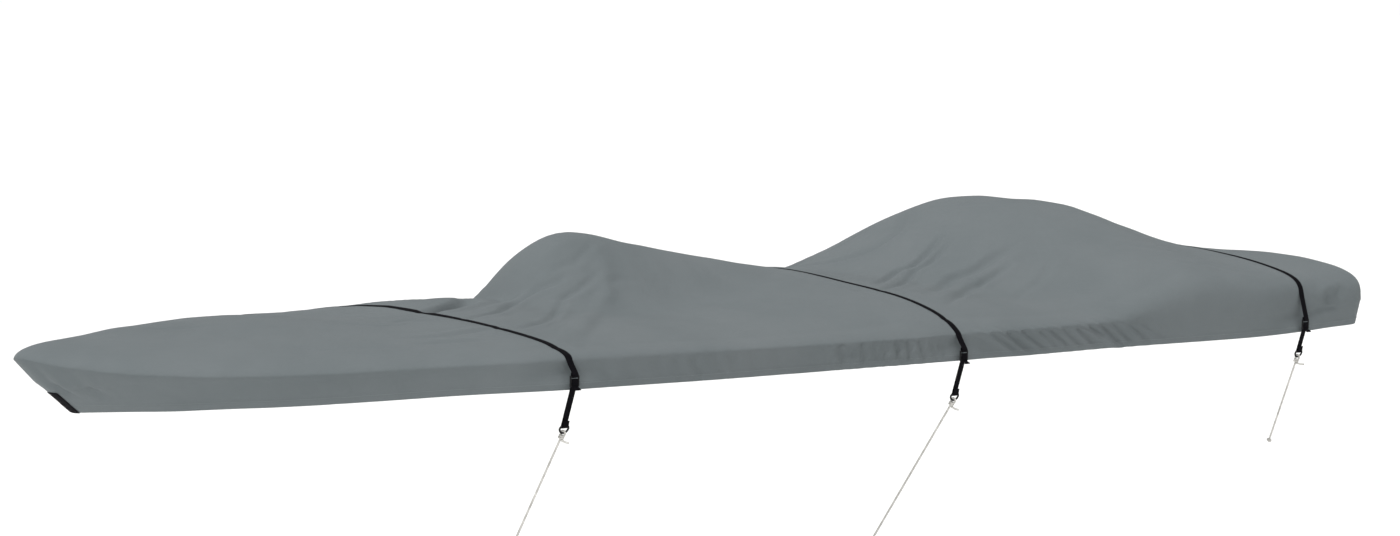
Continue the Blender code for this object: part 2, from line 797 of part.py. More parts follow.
def tie(name, end, drop, inboard, ahead, finish):
    """Cord knotted under the D ring, pulled tight, with a knot at its far end."""
    ring_low = end.point(
        (end.ring_bar[0] + end.lean[0] * RING_DROP, end.ring_bar[1] + end.lean[1] * RING_DROP),
        end.x,
    )
    pull = Vector((-ahead, -end.side * inboard, -drop))
    length = pull.length
    pull.normalize()
    start = ring_low + pull * (RING_WIRE + SEAT)
    lump = []
    for along, radius in KNOT:
        lump.append((start + pull * along, radius))
    swelling_tube(name + "_knot", lump, KNOT_SIDES, finish)
    cord_start = start + pull * (KNOT[-1][0] + SEAT)
    steps = min(int(length / CORD_STEP), CORD_STEPS_MAX)
    cord_end = start + pull * length
    line = [cord_start.lerp(cord_end, step / steps) for step in range(steps + 1)]
    tube(name + "_cord", line, CORD / 2, finish)
    stop = [(cord_end + pull * (SEAT + along), radius) for along, radius in END_KNOT]
    swelling_tube(name + "_end_knot", stop, KNOT_SIDES, finish)
    aft, outboard, upward = FREE_END_AIM
    across = Vector((aft, end.side * outboard, upward))
    across = (across - pull * across.dot(pull)).normalized()
    along, radius = KNOT[2]
    root = start + pull * along + across * (radius + SEAT)
    loose = [root + across * (FREE_END * step / FREE_END_STEPS) for step in range(FREE_END_STEPS + 1)]
    tube(name + "_loose_end", loose, CORD / 2, finish)


def bow_tab(cloth, finish):
    """Webbing patch over the hem at the stem."""
    lift = GAP + WEB / 2
    fore = []
    aft = []
    outward = []
    for row in (0, 1):   # hem and middle of the skirt
        fore.append(cloth.at(1, STARBOARD, row, lift))
        aft.append(cloth.at(1, PORT, row, lift))
        outward.append(cloth.normals[cloth.index[0, PORT, row]])
    return band("bow_tab", fore, aft, outward, finish)


# ---------------------------------------------------------------- build
for old in list(bpy.data.objects):
    bpy.data.objects.remove(old, do_unlink=True)

CLOTH_GRID = Cloth()
mount_column = (ORIGIN_X, half_beam(ORIGIN_X), ORIGIN_X)
ORIGIN = top_point(mount_column, PORT, 1.0) - Vector((0.0, 0.0, CLOTH))

cover(CLOTH_GRID)
webbing = material("polypropylene_webbing", (0.008, 0.008, 0.009), 0.70)
plastic = material("acetal", (0.010, 0.010, 0.011), 0.45)
steel = material("painted_steel", (0.012, 0.012, 0.013), 0.40)
cord = material("white_nylon_cord", (0.78, 0.77, 0.74), 0.75)

port_ends = {}
for strap_name, station, drop, length, slope in STRAPS:
    both_ends = [
        StrapEnd(CLOTH_GRID, station, side, drop, length, slope) for side in (PORT, STARBOARD)
    ]
    strap(CLOTH_GRID, strap_name, station, both_ends, webbing)
    port_ends[strap_name] = both_ends[0]
    for end, word in zip(both_ends, ("port", "starboard")):
        buckle(f"{strap_name}_buckle_{word}", end, plastic)
        tail(f"{strap_name}_tail_{word}", end, webbing)
        wire_loop(f"{strap_name}_ring_{word}", ring_line(end), RING_WIRE, RING_SIDES, steel)
for tie_name, strap_name, fall, inboard, ahead in TIES:
    tie(tie_name, port_ends[strap_name], fall, inboard, ahead, cord)
bow_tab(CLOTH_GRID, webbing)
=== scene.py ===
"""Looks of a fitted cover for a small motor boat.

The cover is one woven cloth with a turned and stitched hem.  It lies over two
supports inside the boat and falls to the gunwale.  Three webbing straps cross
it, each ending in ladder-lock buckles, short tails and D rings, and cords are
hitched to the port rings.  The boat itself is left out.

Hull coordinates, in metres: x runs aft from the nose of the bow, y to
starboard and z up from the gunwale crease.  place() turns them into the
model's own frame, whose origin is under the ridge.
"""
import math

import bmesh
import bpy
import numpy as np
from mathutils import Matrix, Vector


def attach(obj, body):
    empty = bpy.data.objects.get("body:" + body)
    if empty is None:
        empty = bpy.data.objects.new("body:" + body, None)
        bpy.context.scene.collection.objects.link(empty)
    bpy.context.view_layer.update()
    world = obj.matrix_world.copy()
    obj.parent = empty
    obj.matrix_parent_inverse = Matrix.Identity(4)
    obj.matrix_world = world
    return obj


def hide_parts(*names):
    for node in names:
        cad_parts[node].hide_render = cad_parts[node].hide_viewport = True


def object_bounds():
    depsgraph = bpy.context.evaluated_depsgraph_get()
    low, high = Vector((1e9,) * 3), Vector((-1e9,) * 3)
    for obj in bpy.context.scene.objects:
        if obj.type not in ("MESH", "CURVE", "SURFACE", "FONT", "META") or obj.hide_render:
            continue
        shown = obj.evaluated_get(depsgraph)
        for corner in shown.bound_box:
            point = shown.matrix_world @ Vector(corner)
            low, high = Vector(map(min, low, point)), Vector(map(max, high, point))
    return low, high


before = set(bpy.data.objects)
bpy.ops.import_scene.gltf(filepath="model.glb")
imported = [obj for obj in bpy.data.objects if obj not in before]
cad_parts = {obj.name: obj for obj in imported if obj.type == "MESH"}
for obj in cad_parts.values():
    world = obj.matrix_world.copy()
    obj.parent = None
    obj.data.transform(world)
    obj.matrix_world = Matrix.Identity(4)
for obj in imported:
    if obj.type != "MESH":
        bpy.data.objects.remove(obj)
CAD_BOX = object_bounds()
BODY = "root"

# ---------------------------------------------------------------- dimensions
ORIGIN = np.array((2.625, 0.0, 0.256247))

LENGTH = 5.25            # over the cloth, bow to transom
CLOTH = 0.002            # cloth thickness
HEM_DEPTH = 0.025        # turned hem
HEM_PROUD = 0.0007       # how far the doubled hem stands off

SKIRT = 0.079            # crease down to the hem, amidships
SKIRT_BOW = 0.020        # extra depth of the skirt at the bow
EDGE_RISE = 0.003        # widest line above the sheer, amidships
EDGE_RISE_BOW = 0.072    # the same at the nose of the bow
NOSE_FADE = 0.17         # length over which that rise dies out
CREASE_FALL = 0.007      # crease below the sheer
CREASE_TUCK = 0.003      # crease inboard of the widest line
HEM_TUCK = 0.018         # hem inboard of the widest line
CREASE_RAKE = 0.075      # crease set back from the nose
HEM_RAKE = 0.200         # hem set back from the nose
RAKE_FADE = 0.40         # length over which the bow's rake dies out
CORNER_RADIUS = 0.12     # transom corners in plan
SQUARE_END = LENGTH - CORNER_RADIUS

WEB_WIDTH = 0.025        # strap webbing
TAB_STATION = 0.0090     # edge of the webbing patch on the stem
TAB_RISE = 0.055         # its top above the hem
WEB = 0.0014             # webbing thickness
GAP = 0.0006             # between webbing and cloth
SEAT = 0.0003            # between pieces that touch

BAR = 0.0018             # half thickness of a buckle's bars
BUCKLE_LENGTH = 0.030    # between the centres of the outer bars
PLATE_TOP = 0.0055       # top of the toothed middle bar above its centre
BUCKLE_CHEEK = 0.0045    # side walls of the buckle
BUCKLE_PLAY = 0.0015     # between the webbing's edge and a cheek
BUCKLE_LEAN = 0.001      # lower bar nearer the boat than the upper
BUCKLE_STANDOFF = 0.0065  # buckle plane outside the crease
RING_WIRE = 0.0033       # radius of the D ring's wire
RING_WIDTH = 0.036       # between the wire's centre lines
RING_DROP = 0.0215       # straight bar down to the bow
CORD = 0.007             # tie cord diameter
KNOT_LENGTH = 0.029      # hitch along the standing cord
FREE_END = 0.028         # loose end past the hitch
STOP_LENGTH = 0.024      # stopper knot at the far end

PORT = -1
STARBOARD = 1

# Half beam on the widest line.
HALF_BEAM = [
    # x, half_beam
    (0.00, 0.000),
    (0.05, 0.098),
    (0.12, 0.178),
    (0.30, 0.367),
    (0.60, 0.587),
    (1.00, 0.782),
    (1.42, 0.962),
    (2.20, 0.999),
    (3.10, 0.992),
    (4.00, 0.985),
    (4.82, 1.022),
    (5.13, 1.022),
]

# Height of the gunwale.
SHEER = [
    # x, z
    (0.00, -0.040),
    (0.60, -0.024),
    (1.40, 0.001),
    (3.00, -0.005),
    (4.50, -0.007),
    (5.25, 0.016),
]

# Where the line across the cloth from each station meets the ridge.
RIDGE_STATION = [
    # x on the widest line, x on the ridge
    (0.00, 0.30),
    (0.60, 0.76),
    (1.20, 1.24),
    (1.41, 1.41),
    (3.10, 3.10),
    (4.85, 4.85),
    (5.13, 4.93),
]
RIDGE_END = 4.99

# Crown of the cloth between gunwale and ridge.
CROWN = [
    # x, height, squareness, rounding
    (0.30, 0.127, 1.538, 0.613),
    (0.40, 0.129, 1.601, 0.564),
    (0.80, 0.134, 1.515, 0.539),
    (1.20, 0.102, 1.812, 0.500),
    (1.60, 0.137, 0.695, 0.428),
    (2.20, 0.091, 1.416, 0.496),
    (3.00, 0.185, 2.118, 0.731),
    (3.80, 0.110, 2.347, 0.565),
    (4.50, 0.225, 2.942, 0.230),
    (4.90, 0.179, 2.855, 0.279),
]

# What props the cloth up: a seat forward, a console and seats aft.  Each fall
# ahead, astern and abeam has its own reach, roundness of the top and foot.
SUPPORTS = [
    # x, flat_length, flat_half_width, height, ahead, astern, abeam
    (2.192, 0.000, 0.000, 0.246, (0.309, 2.04, 1.04), (0.940, 1.45, 1.90), (0.383, 1.73, 1.30)),
    (4.038, 0.048, 0.084, 0.225, (0.628, 1.99, 1.72), (1.108, 1.48, 1.88), (0.809, 1.76, 1.84)),
]

# Broad swells of the top, where the cloth lies fuller or tighter.
SWELLS = [
    # x, y, length, width, height
    (0.48, 0.12, 0.36, 0.26, 0.0054),
    (1.30, -0.42, 0.40, 0.34, 0.0019),
    (1.46, 0.62, 0.50, 0.50, -0.0261),
    (1.90, 0.34, 0.40, 0.40, 0.0025),
    (3.05, -0.45, 0.36, 0.34, -0.0120),
    (4.62, -0.50, 0.30, 0.30, -0.0062),
    (4.84, -0.62, 0.30, 0.30, 0.0152),
    (5.06, -0.36, 0.24, 0.30, -0.0041),
]

# Where the cloth bridges the foot of a support's fall beside the ridge.
BRIDGES = [
    # side, from x, to x, from and to distance off the ridge, smoothing passes
    (PORT, 1.30, 2.90, 0.06, 0.96, 110),
    (PORT, 3.05, 4.30, 0.10, 0.96, 60),
    (STARBOARD, 1.30, 2.90, 0.42, 0.96, 110),
    (STARBOARD, 3.05, 4.30, 0.42, 0.96, 60),
]
BRIDGE_ENDS = 0.12       # length over which the smoothing comes in
BRIDGE_SIDES = 0.10      # width over which it does
BRIDGE_SHOULDER = 6      # rows above the crease that stay as they are

# Folds of the top, each a line of points in plan.  A negative height is a
# trough.  Crest is the share of it that stands up beside the fold: to the
# right of its run, or to the left where it is below 0.
FOLDS = [
    # half_width, height, crest, points
    # pocket where the forward support meets the foredeck
    (0.030, -0.052, 0.0, ((1.40, -0.20), (1.51, -0.17), (1.57, -0.14), (1.64, -0.10),
                          (1.76, -0.01))),
    (0.018, 0.0050, 0.0, ((1.42, -0.25), (1.52, -0.23), (1.62, -0.16), (1.82, 0.00))),
    (0.014, -0.0040, -0.4, ((1.92, -0.03), (1.87, -0.03), (1.77, -0.11), (1.63, -0.20),
                            (1.52, -0.24))),
    # sweeps down the port side of the forward support
    (0.014, -0.0130, -0.35, ((2.05, -0.16), (1.99, -0.16), (1.92, -0.13), (1.83, -0.15),
                             (1.64, -0.30), (1.50, -0.37), (1.40, -0.40))),
    (0.012, -0.0075, -0.35, ((2.15, -0.20), (2.09, -0.22), (2.03, -0.23), (1.98, -0.23),
                             (1.93, -0.21))),
    (0.013, -0.0095, -0.35, ((2.01, -0.25), (1.95, -0.25), (1.72, -0.47), (1.58, -0.56),
                             (1.44, -0.62))),
    (0.030, 0.0085, -0.2, ((2.24, -0.08), (2.18, -0.20), (2.13, -0.28), (2.07, -0.32),
                           (1.88, -0.48), (1.60, -0.72), (1.40, -0.85))),
    (0.016, -0.0032, 0.0, ((2.22, -0.20), (2.16, -0.28), (2.10, -0.33), (2.03, -0.37),
                           (1.70, -0.71), (1.52, -0.88), (1.42, -0.96))),
    (0.014, -0.0045, -0.4, ((2.26, -0.07), (2.16, -0.12), (2.10, -0.14), (2.05, -0.13),
                            (1.99, -0.13))),
    (0.016, -0.0040, 0.0, ((2.14, -0.26), (2.20, -0.24), (2.28, -0.26))),
    # the same to starboard
    (0.018, -0.0070, 0.5, ((2.10, 0.16), (1.98, 0.22), (1.84, 0.34), (1.60, 0.48))),
    (0.028, 0.0090, 0.5, ((2.20, 0.18), (2.08, 0.34), (1.90, 0.52), (1.62, 0.74))),
    (0.016, -0.0060, 0.4, ((2.14, 0.30), (2.02, 0.46), (1.84, 0.66), (1.66, 0.84))),
    (0.016, -0.0050, 0.4, ((2.26, 0.28), (2.22, 0.46), (2.12, 0.66), (2.00, 0.84))),
    # between the supports
    (0.080, -0.0020, 0.0, ((2.50, 0.10), (2.72, 0.30), (2.94, 0.60), (3.06, 0.82))),
    (0.110, -0.0020, 0.0, ((2.60, -0.22), (2.84, -0.44), (3.06, -0.70))),
    (0.030, -0.0030, -0.4, ((2.34, -0.30), (2.46, -0.44), (2.52, -0.62))),
    (0.022, -0.0028, 0.3, ((2.96, -0.34), (3.02, -0.52), (3.06, -0.74))),
    # down the front of the aft support
    (0.013, -0.0170, -0.25, ((4.02, 0.23), (3.84, 0.07), (3.74, 0.03), (3.66, 0.04),
                             (3.60, 0.09), (3.55, 0.17), (3.56, 0.33))),
    (0.013, -0.0100, -0.3, ((3.98, 0.30), (3.86, 0.27), (3.75, 0.26), (3.66, 0.29))),
    (0.013, -0.0180, -0.25, ((3.84, -0.17), (3.69, -0.22), (3.60, -0.24), (3.50, -0.24),
                             (3.20, -0.46))),
    (0.012, -0.0130, -0.30, ((3.80, -0.24), (3.65, -0.28), (3.55, -0.29), (3.31, -0.46),
                             (3.08, -0.60))),
    (0.022, -0.0170, -0.3, ((3.96, -0.43), (3.82, -0.43), (3.71, -0.44), (3.59, -0.44),
                            (3.26, -0.64))),
    (0.014, -0.0110, -0.3, ((3.86, -0.49), (3.70, -0.52), (3.57, -0.55), (3.24, -0.76))),
    (0.013, -0.0100, -0.3, ((3.72, -0.50), (3.49, -0.62), (3.20, -0.81))),
    (0.016, -0.0040, -0.3, ((4.00, -0.56), (3.88, -0.62), (3.70, -0.68), (3.56, -0.78))),
    (0.018, -0.0065, 0.4, ((3.96, 0.42), (3.80, 0.46), (3.64, 0.54), (3.44, 0.70))),
    (0.016, -0.0055, 0.4, ((3.80, 0.36), (3.64, 0.40), (3.48, 0.52), (3.30, 0.62))),
    # astern of it
    (0.026, -0.0050, 0.3, ((4.30, 0.46), (4.44, 0.66), (4.62, 0.86))),
    (0.060, -0.0050, 0.0, ((4.40, -0.30), (4.62, -0.42), (4.92, -0.52))),
    (0.016, -0.0040, 0.4, ((4.38, -0.82), (4.48, -0.86), (4.56, -0.91), (4.66, -0.94))),
    (0.018, -0.0035, 0.3, ((4.28, -0.60), (4.44, -0.66), (4.60, -0.68))),
    # foredeck
    (0.090, 0.0045, 0.0, ((0.60, -0.16), (0.98, -0.22), (1.34, -0.18))),
    (0.014, -0.0080, -0.3, ((1.04, -0.51), (1.15, -0.57), (1.25, -0.59), (1.35, -0.59),
                            (1.50, -0.58))),
    (0.013, -0.0060, -0.3, ((1.05, -0.62), (1.16, -0.66), (1.26, -0.72))),
    (0.014, -0.0085, -0.3, ((1.20, -0.29), (1.29, -0.31), (1.35, -0.41))),
    (0.014, -0.0075, -0.2, ((1.22, 0.04), (1.26, -0.11), (1.34, -0.20))),
    (0.014, -0.0075, -0.2, ((1.02, -0.22), (1.12, -0.32), (1.22, -0.37))),
    (0.016, -0.0035, -0.3, ((0.42, -0.03), (0.52, -0.08), (0.64, -0.14))),
    (0.018, -0.0035, 0.3, ((0.80, 0.20), (1.04, 0.30), (1.32, 0.34))),
    (0.018, -0.0030, 0.3, ((0.66, -0.44), (0.80, -0.54), (0.98, -0.62))),
]

# Folds that cross the skirt: stations and heights, where 0 is the crease and
# 1 is the hem, and a negative height lies on the shoulder above.
SKIRT_FOLDS = [
    # side, start, end as (x, down), half_width, height, crest
    (PORT, (0.006, -0.1), (0.034, 1.0), 0.014, -0.0130, -0.4),
    (PORT, (0.080, -0.1), (0.110, 0.9), 0.013, -0.0110, -0.4),
    (PORT, (0.030, -0.25), (0.160, -0.15), 0.016, 0.0080, 0.0),
    (PORT, (0.22, 0.1), (0.30, 0.8), 0.018, -0.0035, -0.4),
    (PORT, (0.68, 0.1), (0.76, 0.9), 0.014, 0.0040, 0.4),
    (PORT, (0.88, 0.2), (0.94, 0.9), 0.016, -0.0030, -0.4),
    (PORT, (1.52, 0.0), (1.56, 1.0), 0.014, -0.0040, -0.4),
    (PORT, (1.60, 0.1), (1.66, 0.9), 0.014, -0.0030, -0.4),
    (PORT, (1.88, 0.0), (1.94, 1.0), 0.014, -0.0035, -0.4),
    (PORT, (1.98, 0.1), (2.04, 0.9), 0.014, -0.0030, -0.4),
    (PORT, (2.24, 0.1), (2.28, 0.9), 0.014, -0.0025, -0.4),
    (PORT, (5.08, -0.8), (4.90, 0.0), 0.014, -0.0120, 0.4),
    (PORT, (5.06, -0.05), (4.90, 0.25), 0.012, -0.0090, 0.4),
    (PORT, (4.98, -1.6), (4.90, -0.9), 0.018, -0.0035, 0.4),
    (STARBOARD, (0.010, -0.1), (0.040, 1.0), 0.016, -0.0070, 0.5),
    (STARBOARD, (1.60, 0.0), (1.68, 0.9), 0.016, -0.0035, 0.4),
    (STARBOARD, (5.04, -0.8), (4.88, 0.2), 0.016, -0.0060, -0.5),
]

# Slack in the skirt: it stands out or falls in around these stations.
SKIRT_SLACK = [
    # x, side, half_length, outward at the hem
    (0.24, PORT, 0.10, 0.012),
    (0.42, PORT, 0.10, -0.008),
    (0.95, PORT, 0.22, 0.006),
    (1.95, PORT, 0.30, 0.005),
    (2.62, PORT, 0.24, -0.005),
    (3.44, PORT, 0.22, 0.008),
    (3.80, PORT, 0.18, -0.006),
    (4.30, PORT, 0.26, 0.005),
    (5.02, PORT, 0.12, -0.006),
    (0.30, STARBOARD, 0.14, 0.010),
    (0.80, STARBOARD, 0.26, -0.005),
    (1.90, STARBOARD, 0.34, 0.006),
    (2.70, STARBOARD, 0.28, 0.005),
    (3.60, STARBOARD, 0.30, -0.006),
    (4.40, STARBOARD, 0.26, 0.006),
]

# Rows of small puckers, where the edge was gathered by the straps' pull.
PUCKERS = [
    # side, from x, to x, spacing, height, aft travel from crease to hem, above the crease
    (PORT, 3.14, 4.12, 0.066, 0.0170, 0.160, 0.040),
    (PORT, 2.44, 3.06, 0.050, 0.0200, 0.036, 0.012),
    (PORT, 1.50, 2.30, 0.085, 0.0046, 0.050, 0.010),
    (PORT, 4.20, 4.80, 0.090, 0.0014, 0.050, 0.010),
    (STARBOARD, 3.20, 3.90, 0.055, 0.0032, 0.110, 0.030),
    (STARBOARD, 1.50, 2.40, 0.090, 0.0016, 0.040, 0.010),
]

# Straps over the cloth, and what hangs from their port and starboard ends.
STRAPS = [
    # name, x, buckle below the crease, tail length, slope in
    ("strap_1", 1.41, 0.036, 0.139, 0.38),
    ("strap_2", 3.10, 0.045, 0.126, 0.35),
    ("strap_3", 4.85, 0.035, 0.090, 0.34),
]

CINCH = 0.022            # how far a strap draws the shoulder in
CINCH_REACH = 0.20       # along the boat, either side
CINCH_RISE = 0.15        # above the crease

# Cords from the port rings, pulled tight down and inboard.
TIES = [
    # name, strap, drop, inboard, ahead
    ("tie_1", "strap_1", 0.375, 0.216, 0.030),
    ("tie_2", "strap_2", 0.535, 0.375, 0.040),
    ("tie_3", "strap_3", 0.300, 0.112, 0.015),
]
FREE_END_AIM = (0.45, 0.78, -0.45)  # aft, outboard and, below 0, down

# Grid of the cloth.
COLUMN_STEPS = [
    # x, spacing of the columns
    (0.00, 0.005),
    (0.12, 0.012),
    (0.40, 0.022),
    (1.24, 0.022),
    (1.46, 0.013),
    (2.20, 0.013),
    (2.34, 0.020),
    (3.00, 0.018),
    (3.12, 0.0125),
    (4.04, 0.0130),
    (4.20, 0.022),
    (4.80, 0.018),
    (5.13, 0.014),
]
WEB_COLUMNS = (-1.0, -0.67, -0.33, 0.0, 0.33, 0.67, 1.0)  # across a strap
CORNER_STEPS = 12
TRANSOM_STEPS = 42
# rows of the skirt, metres above the hem, up to the crease
SKIRT_ROWS = [0.0, 0.003, 0.012, 0.0235, 0.0260, 0.033, 0.040, 0.047, 0.054, 0.061, 0.067,
              0.073, SKIRT]
# share of the way from the widest line to the ridge
SHOULDER_ROWS = [0.0, 0.0008, 0.003, 0.007, 0.013, 0.021, 0.031, 0.043, 0.057, 0.073, 0.091]
DECK_STEP = 0.0090
FAR_STEP = 2             # rows of the port deck to each row of the starboard deck
INNER_STEP = 5           # rows of the outer face to each row of the inner


def add_object(name, data):
    """Put an object with this data into the scene."""
    made = bpy.data.objects.new(name, data)
    bpy.context.scene.collection.objects.link(made)
    return made


# ---------------------------------------------------------------- camera
CAMERA_PLACE = (-9.159, -10.497, 0.8472)
CAMERA_DOWN = 0.06499    # below the horizon, radians
CAMERA_TURN = -0.7262    # about the vertical, radians
CAMERA_LENS = 102.857    # millimetres, on a full frame
FULL_FRAME = 36.0        # its width, millimetres


def add_camera():
    """A long lens from off the port bow, a little above the gunwale."""
    data = bpy.data.cameras.new("camera")
    data.sensor_width = FULL_FRAME
    data.lens = CAMERA_LENS
    camera = add_object("camera", data)
    camera.location = CAMERA_PLACE
    camera.rotation_euler = (math.pi / 2 - CAMERA_DOWN, 0.0, CAMERA_TURN)
    bpy.context.scene.camera = camera


add_camera()


# ---------------------------------------------------------------- small tools
def read_table(table, at, column=1):
    """Smooth values of a table's column, with no overshoot between its rows."""
    rows = np.array(table, dtype=float)
    keys, values = rows[:, 0], rows[:, column]
    slopes = np.diff(values) / np.diff(keys)
    before, after = slopes[:-1], slopes[1:]
    steady = before * after > 0
    inner = np.where(steady, 2 * before * after / np.where(steady, before + after, 1.0), 0.0)
    tangents = np.concatenate((slopes[:1], inner, slopes[-1:]))
    at = np.clip(at, keys[0], keys[-1])
    row = np.clip(np.searchsorted(keys, at, side="right") - 1, 0, len(keys) - 2)
    span = keys[row + 1] - keys[row]
    s = (at - keys[row]) / span
    return (
        (1 + 2 * s) * (1 - s) ** 2 * values[row]
        + s * (1 - s) ** 2 * span * tangents[row]
        + s * s * (3 - 2 * s) * values[row + 1]
        + s * s * (s - 1) * span * tangents[row + 1]
    )


ROOT_BEAM = [(math.sqrt(x), beam) for x, beam in HALF_BEAM]


def half_beam(x):
    """Half beam at a station; the square root rounds the nose."""
    return read_table(ROOT_BEAM, np.sqrt(np.maximum(x, 0.0)))


def hump(distance):
    """1 at 0, falling smoothly to 0 at a distance of 1."""
    return np.clip(1 - distance * distance, 0.0, 1.0) ** 2


def ease(value):
    """0 below 0, 1 above 1 and smooth between."""
    value = np.clip(value, 0.0, 1.0)
    return value * value * (3 - 2 * value)


def unit(vectors):
    length = np.linalg.norm(vectors, axis=-1, keepdims=True)
    return vectors / np.maximum(length, 1e-12)


def smooth_line(points, steps):
    """Catmull-Rom curve through the points."""
    points = np.array(points, dtype=float)
    ends = np.vstack((2 * points[0] - points[1], points, 2 * points[-1] - points[-2]))
    line = []
    for k in range(1, len(ends) - 2):
        a, b, c, d = ends[k - 1 : k + 3]
        for step in range(steps):
            t = step / steps
            line.append(
                0.5 * (2 * b + (c - a) * t + (2 * a - 5 * b + 4 * c - d) * t * t
                       + (3 * b - a - 3 * c + d) * t ** 3)
            )
    line.append(points[-1])
    return np.array(line)


def distances(line):
    """Distance of each point from the line's first."""
    steps = np.linalg.norm(np.diff(line, axis=0), axis=1)
    return np.concatenate(([0.0], np.cumsum(steps)))


def along_line(places, run, values):
    """Values at places along a line, where run says how far along each value stands."""
    return np.stack([np.interp(places, run, values[:, k]) for k in range(3)], axis=1)


def quads(*corners):
    """Faces from four arrays of corners."""
    return np.stack([c.ravel() for c in corners], axis=1)


def add_mesh(name, points, faces, finish):
    """A smooth mesh object from hull coordinates."""
    mesh = bpy.data.meshes.new(name)
    mesh.from_pydata((np.asarray(points) - ORIGIN).tolist(), [], [list(face) for face in faces])
    mesh.update()
    mesh.shade_smooth()
    mesh.materials.append(finish)
    return add_object(name, mesh)


def dress(piece, slot, *nodes):
    """Ride on the one body and stand for CAD nodes; slot is not used."""
    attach(piece, BODY)
    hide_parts(*nodes)
    return piece


# ---------------------------------------------------------------- materials
def srgb(hex_code):
    """Linear colour of an sRGB hex value."""
    channels = [int(hex_code[k : k + 2], 16) / 255 for k in (1, 3, 5)]
    linear = [c / 12.92 if c <= 0.04045 else ((c + 0.055) / 1.055) ** 2.4 for c in channels]
    return (*linear, 1.0)


def per_metre(millimetres):
    """Scale of a pattern of this size."""
    return 1000 / millimetres


def new_material(name, settings):
    """A material, its node tree and its shader with these sockets set."""
    made = bpy.data.materials.new(name)
    made.use_nodes = True
    shader = made.node_tree.nodes["Principled BSDF"]
    for socket, value in settings.items():
        shader.inputs[socket].default_value = value
    return made, made.node_tree, shader


def node(tree, kind, settings=None, feeds=None):
    """Add a node; settings are its properties and sockets, feeds link its inputs."""
    made = tree.nodes.new(kind)
    for key, value in (settings or {}).items():
        if isinstance(key, str) and hasattr(made, key):
            setattr(made, key, value)
        else:
            made.inputs[key].default_value = value
    for key, source in (feeds or {}).items():
        tree.links.new(source, made.inputs[key])
    return made


def woven_polyester():
    """Coated polyester, woven from a yarn taken as 600 denier and dyed grey.

    It scatters light like any matte cloth, with a faint sheen at a grazing
    angle from its yarn, and slight unevenness of dye and handling.
    """
    made, tree, shader = new_material("woven_polyester_600_denier", {
        "Roughness": 0.78, "IOR": 1.50, "Specular IOR Level": 0.28, "Sheen Weight": 0.10,
        "Sheen Roughness": 0.45, "Sheen Tint": srgb("#C9CFD2"),
    })
    where = node(tree, "ShaderNodeTexCoord")
    weave_uv = node(tree, "ShaderNodeUVMap", {"uv_map": "cloth"})
    # dye and handling: cloudy patches of about 0.3 m
    clouds = node(tree, "ShaderNodeTexNoise",
                  {"Scale": per_metre(312.5), "Detail": 4.0, "Roughness": 0.55},
                  {"Vector": where.outputs["Object"]})
    # yarn slubs: streaks along the boat, 17 mm long and 2.4 mm wide
    stretch = node(tree, "ShaderNodeMapping",
                   {"Scale": (per_metre(16.667), per_metre(2.381), 1.0)},
                   {"Vector": weave_uv.outputs["UV"]})
    slubs = node(tree, "ShaderNodeTexNoise", {"Scale": 1.0, "Detail": 3.0, "Roughness": 0.6},
                 {"Vector": stretch.outputs["Vector"]})
    both = node(tree, "ShaderNodeMath", {"operation": "MULTIPLY_ADD", 1: 0.30},
                {0: slubs.outputs["Fac"], 2: clouds.outputs["Fac"]})
    colour = node(tree, "ShaderNodeValToRGB", feeds={"Fac": both.outputs["Value"]})
    colour.color_ramp.elements[0].position = 0.40
    colour.color_ramp.elements[0].color = srgb("#606769")
    colour.color_ramp.elements[1].position = 0.92
    colour.color_ramp.elements[1].color = srgb("#676D6F")
    tree.links.new(colour.outputs["Color"], shader.inputs["Base Color"])
    # weave: yarns are 0.6 mm apart and drawn 1.5 mm apart, so that they show
    yarns = node(tree, "ShaderNodeSeparateXYZ", feeds={"Vector": weave_uv.outputs["UV"]})
    waves = 2 * math.pi * per_metre(1.5)
    warp = node(tree, "ShaderNodeMath", {"operation": "MULTIPLY", 1: waves},
                {0: yarns.outputs["X"]})
    weft = node(tree, "ShaderNodeMath", {"operation": "MULTIPLY", 1: waves},
                {0: yarns.outputs["Y"]})
    warp_wave = node(tree, "ShaderNodeMath", {"operation": "SINE"}, {0: warp.outputs["Value"]})
    weft_wave = node(tree, "ShaderNodeMath", {"operation": "SINE"}, {0: weft.outputs["Value"]})
    crossing = node(tree, "ShaderNodeMath", {"operation": "MULTIPLY"},
                    {0: warp_wave.outputs["Value"], 1: weft_wave.outputs["Value"]})
    # creases left by packing: 70 mm across, with smaller ones in them
    crumple = node(tree, "ShaderNodeTexNoise",
                   {"Scale": per_metre(71.43), "Detail": 5.0, "Roughness": 0.52},
                   {"Vector": where.outputs["Object"]})
    creases = node(tree, "ShaderNodeBump", {"Strength": 0.35, "Distance": 0.012},
                   {"Height": crumple.outputs["Fac"]})
    weave = node(tree, "ShaderNodeBump", {"Strength": 0.35, "Distance": 0.0004},
                 {"Height": crossing.outputs["Value"], "Normal": creases.outputs["Normal"]})
    tree.links.new(weave.outputs["Normal"], shader.inputs["Normal"])
    return made


